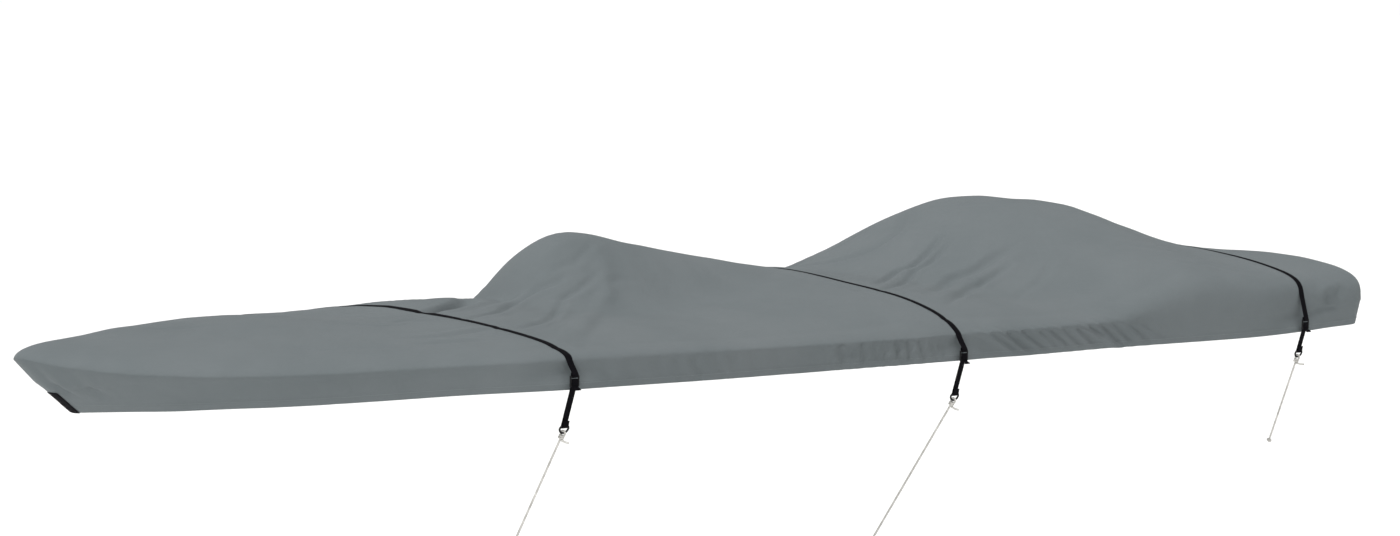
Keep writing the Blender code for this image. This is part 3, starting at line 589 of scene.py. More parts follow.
def polyester_thread():
    """Spun polyester sewing thread, a shade lighter than the cloth."""
    made, tree, shader = new_material("spun_polyester_thread", {
        "Roughness": 0.70, "Sheen Weight": 0.15,
    })
    where = node(tree, "ShaderNodeTexCoord")
    # twist of the plies: 0.4 mm, drawn 1.1 mm, so that it shows
    twist = node(tree, "ShaderNodeTexNoise", {"Scale": per_metre(1.111), "Detail": 2.0},
                 {"Vector": where.outputs["Object"]})
    colour = node(tree, "ShaderNodeValToRGB", feeds={"Fac": twist.outputs["Fac"]})
    colour.color_ramp.elements[0].color = srgb("#6F7577")
    colour.color_ramp.elements[1].color = srgb("#8E9496")
    tree.links.new(colour.outputs["Color"], shader.inputs["Base Color"])
    return made


def webbing():
    """Black polypropylene webbing: flat ribs across it and a dull, dark face."""
    made, tree, shader = new_material("woven_polypropylene_webbing", {
        "Roughness": 0.74, "IOR": 1.49, "Specular IOR Level": 0.05,
    })
    weave_uv = node(tree, "ShaderNodeUVMap", {"uv_map": "cloth"})
    split = node(tree, "ShaderNodeSeparateXYZ", feeds={"Vector": weave_uv.outputs["UV"]})
    # ribs of weft 1.6 mm apart along the webbing, warp ends 1.25 mm apart across
    along = node(tree, "ShaderNodeMath",
                 {"operation": "MULTIPLY", 1: 2 * math.pi * per_metre(3.2)},
                 {0: split.outputs["X"]})
    across = node(tree, "ShaderNodeMath",
                  {"operation": "MULTIPLY", 1: 2 * math.pi * per_metre(2.5)},
                  {0: split.outputs["Y"]})
    ribs = node(tree, "ShaderNodeMath", {"operation": "SINE"}, {0: along.outputs["Value"]})
    ends = node(tree, "ShaderNodeMath", {"operation": "SINE"}, {0: across.outputs["Value"]})
    crossing = node(tree, "ShaderNodeMath", {"operation": "MULTIPLY"},
                    {0: ribs.outputs["Value"], 1: ends.outputs["Value"]})
    raised = node(tree, "ShaderNodeMath", {"operation": "ABSOLUTE"},
                  {0: crossing.outputs["Value"]})
    bump = node(tree, "ShaderNodeBump", {"Strength": 0.9, "Distance": 0.0005},
                {"Height": raised.outputs["Value"]})
    tree.links.new(bump.outputs["Normal"], shader.inputs["Normal"])
    # painted light: the colour follows the weave's relief, lighter on the raised crossings as if
    # lit and darker in the grooves between them as painted shade
    colour = node(tree, "ShaderNodeValToRGB", feeds={"Fac": raised.outputs["Value"]})
    colour.color_ramp.elements[0].color = srgb("#060508")
    colour.color_ramp.elements[1].color = srgb("#131217")
    tree.links.new(colour.outputs["Color"], shader.inputs["Base Color"])
    return made


def acetal():
    """Injection-moulded black acetal with a fine spark-eroded skin."""
    made, tree, shader = new_material("moulded_acetal", {
        "Base Color": srgb("#0B0B0D"), "IOR": 1.48, "Specular IOR Level": 0.25,
    })
    where = node(tree, "ShaderNodeTexCoord")
    # skin: pits of less than 0.1 mm, drawn 0.6 mm, so that they show
    skin = node(tree, "ShaderNodeTexNoise", {"Scale": per_metre(0.625), "Detail": 3.0},
                {"Vector": where.outputs["Object"]})
    rough = node(tree, "ShaderNodeMapRange", {"To Min": 0.46, "To Max": 0.62},
                 {"Value": skin.outputs["Fac"]})
    tree.links.new(rough.outputs["Result"], shader.inputs["Roughness"])
    bump = node(tree, "ShaderNodeBump", {"Strength": 0.25, "Distance": 0.0001},
                {"Height": skin.outputs["Fac"]})
    tree.links.new(bump.outputs["Normal"], shader.inputs["Normal"])
    return made


def coated_steel():
    """Bent steel wire in a dull black baked coat, worn a little."""
    made, tree, shader = new_material("black_coated_steel_wire", {
        "Specular IOR Level": 0.30,
    })
    where = node(tree, "ShaderNodeTexCoord")
    # rubbed spots of the coat, 2.4 mm across
    wear = node(tree, "ShaderNodeTexNoise", {"Scale": per_metre(2.381), "Detail": 4.0},
                {"Vector": where.outputs["Object"]})
    colour = node(tree, "ShaderNodeValToRGB", feeds={"Fac": wear.outputs["Fac"]})
    colour.color_ramp.elements[0].position = 0.35
    colour.color_ramp.elements[0].color = srgb("#09090B")
    colour.color_ramp.elements[1].position = 0.80
    colour.color_ramp.elements[1].color = srgb("#18181B")
    tree.links.new(colour.outputs["Color"], shader.inputs["Base Color"])
    rough = node(tree, "ShaderNodeMapRange", {"To Min": 0.44, "To Max": 0.58},
                 {"Value": wear.outputs["Fac"]})
    tree.links.new(rough.outputs["Result"], shader.inputs["Roughness"])
    return made


def braided_nylon():
    """White braided nylon cord: soft filament sheen, a little grey between strands."""
    made, tree, shader = new_material("braided_nylon_cord", {
        "Roughness": 0.60, "IOR": 1.53, "Sheen Weight": 0.25, "Sheen Roughness": 0.40,
        "Subsurface Weight": 0.08, "Subsurface Radius": (0.003, 0.003, 0.003),
    })
    where = node(tree, "ShaderNodeTexCoord")
    # soil from handling, in patches 18 mm long
    soil = node(tree, "ShaderNodeTexNoise", {"Scale": per_metre(18.182), "Detail": 4.0},
                {"Vector": where.outputs["Object"]})
    colour = node(tree, "ShaderNodeValToRGB", feeds={"Fac": soil.outputs["Fac"]})
    colour.color_ramp.elements[0].position = 0.30
    colour.color_ramp.elements[0].color = srgb("#A9A7A2")
    colour.color_ramp.elements[1].position = 0.70
    colour.color_ramp.elements[1].color = srgb("#CFCDC8")
    tree.links.new(colour.outputs["Color"], shader.inputs["Base Color"])
    # filaments: a few hundredths of a millimetre, drawn 0.7 mm, so that they show
    fibres = node(tree, "ShaderNodeTexNoise", {"Scale": per_metre(0.7143), "Detail": 2.0},
                  {"Vector": where.outputs["Object"]})
    bump = node(tree, "ShaderNodeBump", {"Strength": 0.3, "Distance": 0.0002},
                {"Height": fibres.outputs["Fac"]})
    tree.links.new(bump.outputs["Normal"], shader.inputs["Normal"])
    return made


def studio_floor():
    """Matte white-painted studio floor."""
    made, tree, shader = new_material("matte_painted_floor", {
        "Roughness": 0.90, "Specular IOR Level": 0.15,
    })
    where = node(tree, "ShaderNodeTexCoord")
    # roller marks half a metre apart
    roller = node(tree, "ShaderNodeTexNoise", {"Scale": per_metre(500), "Detail": 3.0},
                  {"Vector": where.outputs["Object"]})
    colour = node(tree, "ShaderNodeValToRGB", feeds={"Fac": roller.outputs["Fac"]})
    colour.color_ramp.elements[0].color = srgb("#F6F6F5")
    colour.color_ramp.elements[1].color = srgb("#FAFAF9")
    tree.links.new(colour.outputs["Color"], shader.inputs["Base Color"])
    return made


CLOTH_FINISH = woven_polyester()
THREAD_FINISH = polyester_thread()
WEB_FINISH = webbing()
PLASTIC_FINISH = acetal()
STEEL_FINISH = coated_steel()
CORD_FINISH = braided_nylon()


# ---------------------------------------------------------------- the cloth's form
NOSE_COLUMNS = [0.0, 0.0006, 0.0025]
LAST_COLUMN = SQUARE_END - 0.012
STRAP_CLEAR = 0.006      # no other column this near to one under a strap


def stations():
    """Stations of the columns down one side, with a set under each strap."""
    at = list(NOSE_COLUMNS)
    while at[-1] < LAST_COLUMN:
        at.append(at[-1] + float(read_table(COLUMN_STEPS, at[-1])))
    at[-1] = SQUARE_END
    under = []
    for _, x, *_ in STRAPS:
        under += [x + share * WEB_WIDTH / 2 for share in WEB_COLUMNS]
    kept = [x for x in at if min(abs(x - other) for other in under) > STRAP_CLEAR]
    return np.array(sorted(kept + under))


def outline():
    """Station, half beam and ridge station of each column, bow to transom."""
    x = stations()
    beam = half_beam(x)
    ridge = read_table(RIDGE_STATION, x)
    square = float(half_beam(SQUARE_END)) - CORNER_RADIUS
    turn = np.linspace(0, math.pi / 2, CORNER_STEPS + 1)[1:]
    corner = SQUARE_END + CORNER_RADIUS * np.sin(turn)
    x = np.concatenate((x, corner, np.full(TRANSOM_STEPS, LENGTH)))
    flat = square * (1 - np.arange(1, TRANSOM_STEPS + 1) / TRANSOM_STEPS)
    beam = np.concatenate((beam, square + CORNER_RADIUS * np.cos(turn), flat))
    last = ridge[-1]
    count = CORNER_STEPS + TRANSOM_STEPS
    ends = last + (RIDGE_END - last) * np.arange(1, count + 1) / count
    return x, beam, np.concatenate((ridge, ends))


def propped_height(x, y):
    """Lift of the cloth over what stands inside the boat."""
    lift = np.zeros_like(x)
    for start, flat, half_width, height, front, back, flank in SUPPORTS:
        before = np.maximum(start - x, 0) / front[0]
        after = np.maximum(x - start - flat, 0) / back[0]
        across = np.maximum(np.abs(y) - half_width, 0) / flank[0]
        reach = np.hypot(before + after, across)
        total = np.maximum(reach, 1e-9) ** 2
        shares = (before ** 2 / total, after ** 2 / total)
        shares += (1 - shares[0] - shares[1],)
        top = sum(share * fall[1] for share, fall in zip(shares, (front, back, flank)))
        foot = sum(share * fall[2] for share, fall in zip(shares, (front, back, flank)))
        lift += height * np.clip(1 - reach ** top, 0.0, 1.0) ** foot
    return lift


def swell_height(x, y):
    """Sum of the broad swells."""
    total = np.zeros_like(x)
    for at_x, at_y, length, width, height in SWELLS:
        total += height * hump(np.hypot((x - at_x) / length, (y - at_y) / width))
    return total


def slack(x, side):
    """How far the hem stands out at a station."""
    total = np.zeros_like(x)
    for at, which, half_length, outward in SKIRT_SLACK:
        if which == side:
            total += outward * hump((x - at) / half_length)
    return total


def top_points(edge_x, beam, ridge_x, side, across):
    """Points of the top: across is 0 on the widest line and 1 on the ridge."""
    x = edge_x * (1 - across) + ridge_x * across
    y = side * beam * (1 - across)
    base = read_table(SHEER, edge_x) * (1 - across) + read_table(SHEER, ridge_x) * across
    squareness = read_table(CROWN, ridge_x, 2)
    rounding = read_table(CROWN, ridge_x, 3)
    crown = (1 - (1 - across) ** squareness) ** rounding
    inward = 1 - (1 - across) ** 3
    nose = np.exp(-edge_x / NOSE_FADE) * (1 - across) ** 2
    z = base + EDGE_RISE + (EDGE_RISE_BOW - EDGE_RISE) * nose
    z = z + read_table(CROWN, ridge_x) * crown
    z = z + (propped_height(x, y) + swell_height(x, y)) * inward
    return np.stack((x, y, z), axis=-1)


def skirt_points(edge_x, beam, side, down):
    """Points of the skirt: down is 0 at the crease and 1 at the hem."""
    rake = np.exp(-edge_x / RAKE_FADE)
    tuck = CREASE_TUCK + (HEM_TUCK - CREASE_TUCK) * down - slack(edge_x, side) * down
    set_back = (CREASE_RAKE + (HEM_RAKE - CREASE_RAKE) * down) * rake
    aft = np.clip((edge_x - SQUARE_END) / CORNER_RADIUS, 0.0, 1.0)
    x = edge_x + set_back - tuck * aft
    y = side * beam * (1 - tuck / np.maximum(beam, 4 * tuck))
    z = read_table(SHEER, edge_x) - CREASE_FALL - (SKIRT + SKIRT_BOW * rake) * down
    return np.stack((x, y, z), axis=-1)


class Cloth:
    """Outer grid of the cover, both sides joined along the ridge and at the ends."""

    def __init__(self):
        self.x, self.beam, self.ridge = outline()
        deck = np.arange(SHOULDER_ROWS[-1] + DECK_STEP, 1.0 - DECK_STEP / 2, DECK_STEP)
        self.across = np.concatenate((SHOULDER_ROWS, deck, [1.0]))
        self.down = 1 - np.array(SKIRT_ROWS) / SKIRT
        self.crease = len(SKIRT_ROWS) - 1
        self.columns = len(self.x)
        self.rows = len(self.down) + len(self.across)
        self.index_grid()
        self.points = np.zeros((self.count, 3))
        for s, side in enumerate((PORT, STARBOARD)):
            self.points[self.index[s]] = self.side_points(side)
        for shared in (self.index[0, :, -1], self.index[0, 0], self.index[0, -1]):
            self.points[shared, 1] = 0.0
        self.normals = self.point_normals()
        self.lay_lengths()

    def side_points(self, side):
        column = [values[:, None] for values in (self.x, self.beam, self.ridge)]
        skirt = skirt_points(column[0], column[1], side, self.down[None, :])
        top = top_points(*column, side, self.across[None, :])
        return np.concatenate((skirt, top), axis=1)

    def index_grid(self):
        """Number the points; both sides share the ridge and the two end columns."""
        shape = (self.columns, self.rows)
        port = np.arange(shape[0] * shape[1]).reshape(shape)
        own = np.zeros(shape, dtype=bool)
        own[1:-1, :-1] = True
        starboard = port.copy()
        starboard[own] = port.size + np.arange(own.sum())
        self.count = int(port.size + own.sum())
        self.index = np.stack((port, starboard))

    def far_rows(self):
        """Rows that the starboard side keeps."""
        deck = self.crease + len(SHOULDER_ROWS)
        return list(range(deck)) + list(range(deck, self.rows - 1, FAR_STEP)) + [self.rows - 1]

    def join_ends(self):
        """Lay dropped rows of the shared end columns on the line between kept rows."""
        kept = self.far_rows()
        for low, high in zip(kept[:-1], kept[1:]):
            for row in range(low + 1, high):
                share = (row - low) / (high - low)
                for end in (0, -1):
                    column = self.index[0, end]
                    self.points[column[row]] = (self.points[column[low]] * (1 - share)
                                                + self.points[column[high]] * share)

    def cells(self, s, rows=slice(None)):
        """Corners of the quads of one side, seen from outside in turn."""
        grid = self.index[s][:, rows]
        made = quads(grid[:-1, :-1], grid[1:, :-1], grid[1:, 1:], grid[:-1, 1:])
        return made if s == 0 else made[:, ::-1]

    def point_normals(self):
        normals = np.zeros((self.count, 3))
        for s in (0, 1):
            cells = self.cells(s)
            a, b, c, d = (self.points[cells[:, k]] for k in range(4))
            area = np.cross(c - a, d - b)
            for k in range(4):
                np.add.at(normals, cells[:, k], area)
        return unit(normals)

    def lay_lengths(self):
        """Distance along the cloth from the bow and from the hem, for the weave."""
        self.run = np.zeros((2, self.columns, self.rows))
        self.rise = np.zeros((2, self.columns, self.rows))
        for s in (0, 1):
            grid = self.points[self.index[s]]
            steps = np.linalg.norm(np.diff(grid, axis=1), axis=-1)
            self.rise[s, :, 1:] = np.cumsum(steps, axis=1)
            steps = np.linalg.norm(np.diff(grid[:, self.crease], axis=0), axis=-1)
            self.run[s, 1:] = np.cumsum(steps)[:, None]

    def below_crease(self, s):
        """Distance down from the crease, negative above it."""
        return self.rise[s, :, self.crease][:, None] - self.rise[s]

    def displace(self, amount):
        """Move every point along its normal by an amount per point."""
        self.points = self.points + self.normals * amount[:, None]
        self.points[self.index[0, 0], 1] = 0.0
        self.normals = self.point_normals()

    def leave_row(self, s, column, foot):
        """Row where a strap pulled straight to its buckle leaves the cloth."""
        rows = np.arange(self.crease, self.crease + len(SHOULDER_ROWS))
        points = self.points[self.index[s, column, rows]]
        fall = (np.abs(points[:, 1]) - foot[0]) / (points[:, 2] - foot[1])
        return int(rows[np.argmax(fall)])

    def settle(self):
        """Let the cloth bridge the foot of each fall, where it sweeps to the side."""
        for side, start, end, inner, outer, passes in BRIDGES:
            s = (side + 1) // 2
            grid = self.points[self.index[s]]
            reach = np.abs(grid[..., 1])
            weight = ease((self.x - start) / BRIDGE_ENDS) * ease((end - self.x) / BRIDGE_ENDS)
            weight = (weight[:, None] * ease((reach - inner) / BRIDGE_SIDES)
                      * ease((outer - reach) / BRIDGE_SIDES))
            weight[:, : self.crease + BRIDGE_SHOULDER] = 0.0
            height = grid[..., 2].copy()
            for _ in range(passes):
                mean = height.copy()
                mean[1:-1, 1:-1] = (height[:-2, 1:-1] + height[2:, 1:-1]
                                    + height[1:-1, :-2] + height[1:-1, 2:]) / 4
                height += weight * (mean - height)
            self.points[self.index[s], 2] = height
        self.normals = self.point_normals()
        self.lay_lengths()

    def column_at(self, x):
        return int(np.argmin(np.abs(self.x[: -(CORNER_STEPS + TRANSOM_STEPS)] - x)))


FOLD_REACH = 1.7         # where a fold ends, in half widths from its line
FOLD_SEARCH = 2.3        # margin searched for its points, in reaches
FOLD_LIFT = 0.05         # and above and below the line
FOLD_LAYER = 0.06        # points this far off the line's level count as farther away
CREST_PLACE = 1.25       # centre of the crest beside the fold, in reaches
FOLD_ENDS = 0.6          # power of the fade at both ends


def fold_amount(cloth, line, half_width, height, crest):
    """A fold along a line on the cloth: height per point, faded at both ends."""
    amount = np.zeros(cloth.count)
    reach = FOLD_REACH * half_width
    low = line.min(axis=0) - FOLD_SEARCH * reach
    high = line.max(axis=0) + FOLD_SEARCH * reach
    low[2] -= FOLD_LIFT
    high[2] += FOLD_LIFT
    inside = np.all((cloth.points > low) & (cloth.points < high), axis=1)
    near = np.nonzero(inside)[0]
    if not len(near):
        return amount
    points = cloth.points[near]
    normals = cloth.normals[near]
    best = np.full(len(near), 1e9)
    signed = np.zeros(len(near))
    share = np.zeros(len(near))
    for k in range(len(line) - 1):
        run = line[k + 1] - line[k]
        if run @ run < 1e-10:
            continue
        t = np.clip((points - line[k]) @ run / (run @ run), 0.0, 1.0)
        away = points - (line[k] + t[:, None] * run)
        depth = np.sum(away * normals, axis=1)
        away = away - depth[:, None] * normals
        distance = np.linalg.norm(away, axis=1) + np.maximum(np.abs(depth) - FOLD_LAYER, 0.0)
        closer = distance < best
        right = np.cross(np.broadcast_to(run, normals.shape), normals)
        best = np.where(closer, distance, best)
        signed = np.where(closer, np.sign(np.sum(away * right, axis=1)), signed)
        share = np.where(closer, (k + t) / (len(line) - 1), share)
    t = signed * best / reach
    profile = hump(t) - abs(crest) * hump(t - CREST_PLACE * math.copysign(1, crest))
    fade = np.sin(math.pi * np.clip(share, 0.0, 1.0)) ** FOLD_ENDS
    amount[near] = height * profile * fade
    return amount


def top_line(cloth, plan):
    """Heights of the cloth's top along a line in plan."""
    top = cloth.index[:, :, cloth.crease + 2 :].reshape(-1)
    points = cloth.points[top]
    line = []
    for x, y in plan:
        found = np.argmin((points[:, 0] - x) ** 2 + (points[:, 1] - y) ** 2)
        line.append((x, y, points[found, 2]))
    return np.array(line)


def skirt_line(cloth, side, start, end):
    """A straight run over the skirt, from (x, down) to (x, down)."""
    line = []
    s = (side + 1) // 2
    for share in np.linspace(0, 1, 9):
        x = start[0] + (end[0] - start[0]) * share
        down = start[1] + (end[1] - start[1]) * share
        column = cloth.column_at(x)
        level = cloth.below_crease(s)[column]
        row = int(np.argmin(np.abs(level - down * SKIRT)))
        line.append(cloth.points[cloth.index[s, column, row]])
    return np.array(line)


PUCKER_WIDTH = (0.42, 0.66)   # half width, in spacings
PUCKER_TALL = (0.45, 1.0)     # height, as a share of the row's
PUCKER_SHIFT = (-0.25, 0.25)  # slant, as a share of the row's
PUCKER_GAP = (0.78, 1.28)     # to the next, in spacings
PUCKER_STEEP = 0.9            # how much steeper one side is
PUCKER_LEVEL = 0.35           # taken off, so that the row stands in as much as out


def pucker_amount(cloth, rng):
    """Rows of small slanting folds along the edge."""
    amount = np.zeros(cloth.count)
    for side, start, end, spacing, height, travel, above in PUCKERS:
        s = (side + 1) // 2
        below = cloth.below_crease(s)
        depth = below / SKIRT
        across = cloth.x[:, None] - travel * depth
        wave = np.zeros_like(below)
        at = start
        while at < end:
            half = spacing * rng.uniform(*PUCKER_WIDTH)
            tall = rng.uniform(*PUCKER_TALL)
            edges = ease((at - start) / 0.14 + 0.25) * ease((end - at) / 0.22)
            shift = rng.uniform(*PUCKER_SHIFT) * travel * depth
            t = (across - at + shift) / half
            wave += tall * edges * hump(t) * (1 + PUCKER_STEEP * t * np.abs(t) ** 0.5)
            at += spacing * rng.uniform(*PUCKER_GAP)
        wave -= (PUCKER_LEVEL * ease((cloth.x - start) / 0.1)[:, None]
                 * ease((end - cloth.x) / 0.1)[:, None])
        fade = ease((below + above) / above) * (1 - 0.8 * ease(2 * depth - 1))
        columns = np.ones(cloth.columns)
        for _, x, *_ in STRAPS:
            columns *= ease((np.abs(cloth.x - x) - WEB_WIDTH / 2) / 0.02)
        amount[cloth.index[s]] += height * wave * fade * columns[:, None]
    return amount


UNEVEN = ((0.62, 0.0016, 7), (0.30, 0.0010, 8), (0.16, 0.0006, 8))  # length, height, count


def unevenness(cloth, rng):
    """Slow swells of slack cloth over the deck, a few millimetres high."""
    points = cloth.points
    total = np.zeros(cloth.count)
    for wavelength, height, count in UNEVEN:
        for _ in range(count):
            heading = rng.uniform(0, 2 * math.pi)
            length = wavelength * rng.uniform(0.75, 1.3)
            phase = rng.uniform(0, 2 * math.pi)
            across = points[:, 0] * math.cos(heading) + points[:, 1] * math.sin(heading)
            across = across + 0.5 * points[:, 2]
            total += height * np.sin(2 * math.pi * across / length + phase) / math.sqrt(count)
    return total


FURROW_REACH = 0.06      # along the boat, either side of a strap
FURROW = 0.0022          # how deep a strap presses in
STRAP_CALM = 0.8         # share of the folds that a strap flattens
SWELL_FADE = 0.10        # above the crease, where the slow swells come in
HEM_PROFILE = np.array([0.2, 0.9, 1.0, 1.0])  # share of the hem's thickness, row by row


def form_cloth():
    """The draped cloth with its folds, puckers, strap furrows and doubled hem."""
    cloth = Cloth()
    cloth.settle()
    rng = np.random.default_rng(41)
    amount = np.zeros(cloth.count)
    for half_width, height, crest, plan in FOLDS:
        line = top_line(cloth, smooth_line(plan, 6))
        amount += fold_amount(cloth, line, half_width, height, crest)
    for side, start, end, half_width, height, crest in SKIRT_FOLDS:
        line = skirt_line(cloth, side, start, end)
        amount += fold_amount(cloth, line, half_width, height, crest)
    amount += pucker_amount(cloth, rng)
    rows_fade = np.zeros(cloth.count)
    furrow = np.zeros(cloth.count)
    cinched = np.zeros(cloth.count)
    near_strap = np.zeros(cloth.columns)
    beside_strap = np.zeros(cloth.columns)
    for _, x, *_ in STRAPS:
        near_strap = np.maximum(near_strap, hump((cloth.x - x) / FURROW_REACH))
        beside_strap = np.maximum(beside_strap, hump((cloth.x - x) / CINCH_REACH))
    for s in (0, 1):
        below = cloth.below_crease(s)
        rows_fade[cloth.index[s]] = ease(-below / SWELL_FADE)
        furrow[cloth.index[s]] = near_strap[:, None] * ease(1 - below / (0.5 * SKIRT))
        pulled = (ease((below + CINCH_RISE) / CINCH_RISE)
                  * ease((0.9 * SKIRT - below) / (0.7 * SKIRT)))
        cinched[cloth.index[s]] = beside_strap[:, None] * pulled
    swells = unevenness(cloth, rng) * rows_fade
    amount = (amount + swells) * (1 - STRAP_CALM * furrow) - FURROW * furrow
    cloth.displace(amount)
    cloth.points[:, 1] -= np.sign(cloth.points[:, 1]) * CINCH * cinched
    cloth.normals = cloth.point_normals()
    hem = np.zeros(cloth.count)
    rows = np.nonzero(np.array(SKIRT_ROWS) < HEM_DEPTH)[0]
    for s in (0, 1):
        hem[cloth.index[s][:, rows]] = HEM_PROUD * HEM_PROFILE[None, : len(rows)]
    cloth.displace(hem)
    cloth.join_ends()
    cloth.lay_lengths()
    return cloth


def add_uv(mesh, values):
    """One UV pair per corner, in metres of cloth."""
    layer = mesh.uv_layers.new(name="cloth")
    corners = np.zeros(len(mesh.loops), dtype=np.int64)
    mesh.loops.foreach_get("vertex_index", corners)
    layer.uv.foreach_set("vector", values[corners].astype(np.float32).ravel())


def inner_depth(cloth, rows):
    """Depth of the inner face's points, deeper where an outer trough dips between them."""
    depth = np.full(cloth.count, CLOTH)
    for s in (0, 1):
        for low, high in zip(rows[:-1], rows[1:]):
            ends = cloth.points[cloth.index[s][:, (low, high)]]
            dip = np.zeros(cloth.columns)
            for row in range(low + 1, high):
                share = (row - low) / (high - low)
                chord = ends[:, 0] * (1 - share) + ends[:, 1] * share
                between = cloth.index[s][:, row]
                above = np.sum((chord - cloth.points[between]) * cloth.normals[between], axis=1)
                dip = np.maximum(dip, above)
            for row in (low, high):
                found = cloth.index[s][:, row]
                depth[found] = np.maximum(depth[found], CLOTH + dip)
    return depth


def add_cover(cloth):
    """Outer face, a coarser inner face that keeps below it, and the hem's edge."""
    inner_rows = list(range(0, cloth.rows - 1, INNER_STEP)) + [cloth.rows - 1]
    depth = inner_depth(cloth, inner_rows)
    faces = np.concatenate((cloth.cells(0), cloth.cells(1, cloth.far_rows())))
    used = np.unique(cloth.index[:, :, inner_rows])
    renumber = np.full(cloth.count, -1)
    renumber[used] = cloth.count + np.arange(len(used))
    inside = []
    for s in (0, 1):
        grid = renumber[cloth.index[s][:, inner_rows]]
        face = quads(grid[:-1, :-1], grid[:-1, 1:], grid[1:, 1:], grid[1:, :-1])
        inside.append(face if s == 0 else face[:, ::-1])
        hem = cloth.index[s][:, 0]
        edge = quads(hem[1:], hem[:-1], renumber[hem[:-1]], renumber[hem[1:]])
        inside.append(edge if s == 0 else edge[:, ::-1])
    inner = cloth.points[used] - cloth.normals[used] * depth[used, None]
    points = np.vstack((cloth.points, inner))
    every = np.concatenate([faces] + inside)
    kept, every = np.unique(every, return_inverse=True)
    every = every.reshape(-1, 4)
    piece = add_mesh("draped_cloth", points[kept], every, CLOTH_FINISH)
    uv = np.zeros((cloth.count, 2))
    for s in (1, 0):
        uv[cloth.index[s], 0] = cloth.run[s]
        uv[cloth.index[s], 1] = cloth.rise[s]
    add_uv(piece.data, np.vstack((uv, uv[used]))[kept])
    return dress(piece, "cover_cloth", "cover")


STITCH_RISE = 0.0235     # row of the skirt just under the top of the turned hem
STITCH_DROP = 0.3        # share of the way from it to the row below
STITCH_PROUD = 0.0002    # how far the thread stands off
STITCH_AHEAD = 0.002     # where the run's direction is taken


def add_hem_stitches(cloth):
    """A row of lock stitches along the top of the turned hem, all round."""
    row = int(np.argmin(np.abs(np.array(SKIRT_ROWS) - STITCH_RISE)))
    pitch, long, wide, tall = 0.0055, 0.0036, 0.0008, 0.0004
    points = []
    faces = []
    for s in (0, 1):
        line = cloth.points[cloth.index[s][:, row]]
        lower = cloth.points[cloth.index[s][:, row - 1]]
        out = cloth.normals[cloth.index[s][:, row - 1]]
        line = line * (1 - STITCH_DROP) + lower * STITCH_DROP
        run = distances(line)
        places = np.arange(pitch / 2, run[-1], pitch)
        centre = along_line(places, run, line)
        ahead = along_line(places + STITCH_AHEAD, run, line)
        normal = unit(along_line(places, run, out))
        along = unit(ahead - centre)
        side = np.cross(along, normal)
        base = centre + normal * STITCH_PROUD
        ring = [
            base - along * long / 2,
            base - along * long / 4 + side * wide / 2 + normal * tall / 2,
            base + along * long / 4 + side * wide / 2 + normal * tall / 2,
            base + along * long / 2,
            base + along * long / 4 - side * wide / 2 + normal * tall / 2,
            base - along * long / 4 - side * wide / 2 + normal * tall / 2,
            base - along * long / 5 + normal * tall,
            base + along * long / 5 + normal * tall,
        ]
        first = len(points) * 8
        points += list(np.stack(ring, axis=1))
        for k in range(len(places)):
            a = first + k * 8
            shape = [(0, 1, 6), (1, 2, 7, 6), (2, 3, 7), (3, 4, 7), (4, 5, 6, 7), (5, 0, 6),
                     (5, 4, 3, 2, 1, 0)]
            faces += [tuple(a + corner for corner in face) for face in shape]
    piece = add_mesh("hem_stitches", np.concatenate(points), faces, THREAD_FINISH)
    return dress(piece, "cover_cloth")


# ---------------------------------------------------------------- webbing
SHARP = math.radians(50)  # edges turned more than this stay sharp
# share of the webbing's thickness, across it
EDGE_SHAPE = np.array([0.45, 0.90, 1.0, 1.0, 1.0, 0.90, 0.45])


def ribbon(name, lines, outward, finish):
    """Webbing through a grid of points, with rounded edges and closed ends.

    lines has one row of points, at WEB_COLUMNS, for each place along the webbing.
    """
    count, wide = lines.shape[:2]
    half = WEB / 2 * EDGE_SHAPE[None, :, None]
    top = lines + outward * half
    under = lines - outward * half
    points = np.concatenate((top.reshape(-1, 3), under.reshape(-1, 3)))
    grid = np.arange(count * wide).reshape(count, wide)
    low = grid + count * wide
    upper = quads(grid[:-1, :-1], grid[1:, :-1], grid[1:, 1:], grid[:-1, 1:])
    lower = upper[:, ::-1] + count * wide
    sides = []
    for edge, turned in ((0, False), (wide - 1, True)):
        strip = quads(grid[:-1, edge], low[:-1, edge], low[1:, edge], grid[1:, edge])
        sides.append(strip[:, ::-1] if turned else strip)
    ends = []
    for row, turned in ((0, True), (count - 1, False)):
        cap = quads(grid[row, :-1], low[row, :-1], low[row, 1:], grid[row, 1:])
        ends.append(cap[:, ::-1] if turned else cap)
    faces = np.concatenate([upper, lower] + sides + ends)
    piece = add_mesh(name, points, faces, finish)
    run = distances(lines[:, wide // 2])
    across = WEB_WIDTH / 2 * np.array(WEB_COLUMNS)
    flat = np.stack(np.meshgrid(run, across, indexing="ij"), axis=-1).reshape(-1, 2)
    add_uv(piece.data, np.vstack((flat, flat)))
    mesh = bmesh.new()
    mesh.from_mesh(piece.data)
    bmesh.ops.recalc_face_normals(mesh, faces=mesh.faces)
    mesh.to_mesh(piece.data)
    mesh.free()
    piece.data.set_sharp_from_angle(angle=SHARP)
    return piece


def arc(center, radius, start, end, steps):
    """Points round a bar, in the plane of outward distance and height."""
    turn = np.radians(np.linspace(start, end, steps + 1))
    return [(center[0] + radius * math.cos(a), center[1] + radius * math.sin(a)) for a in turn]


STRAP_TURNED = (0.008, 0.005, 0.012)  # above the top bar: in front, behind and at its end
FLAP = [(0.0185, -0.0125), (0.0145, -0.0085), (0.0085, -0.0062)]  # loose end off the low bar
TAIL_RETURN = 0.022      # webbing folded back up from the ring
TAIL_DRAW = 0.45         # how far its end lies in, in turns round the ring


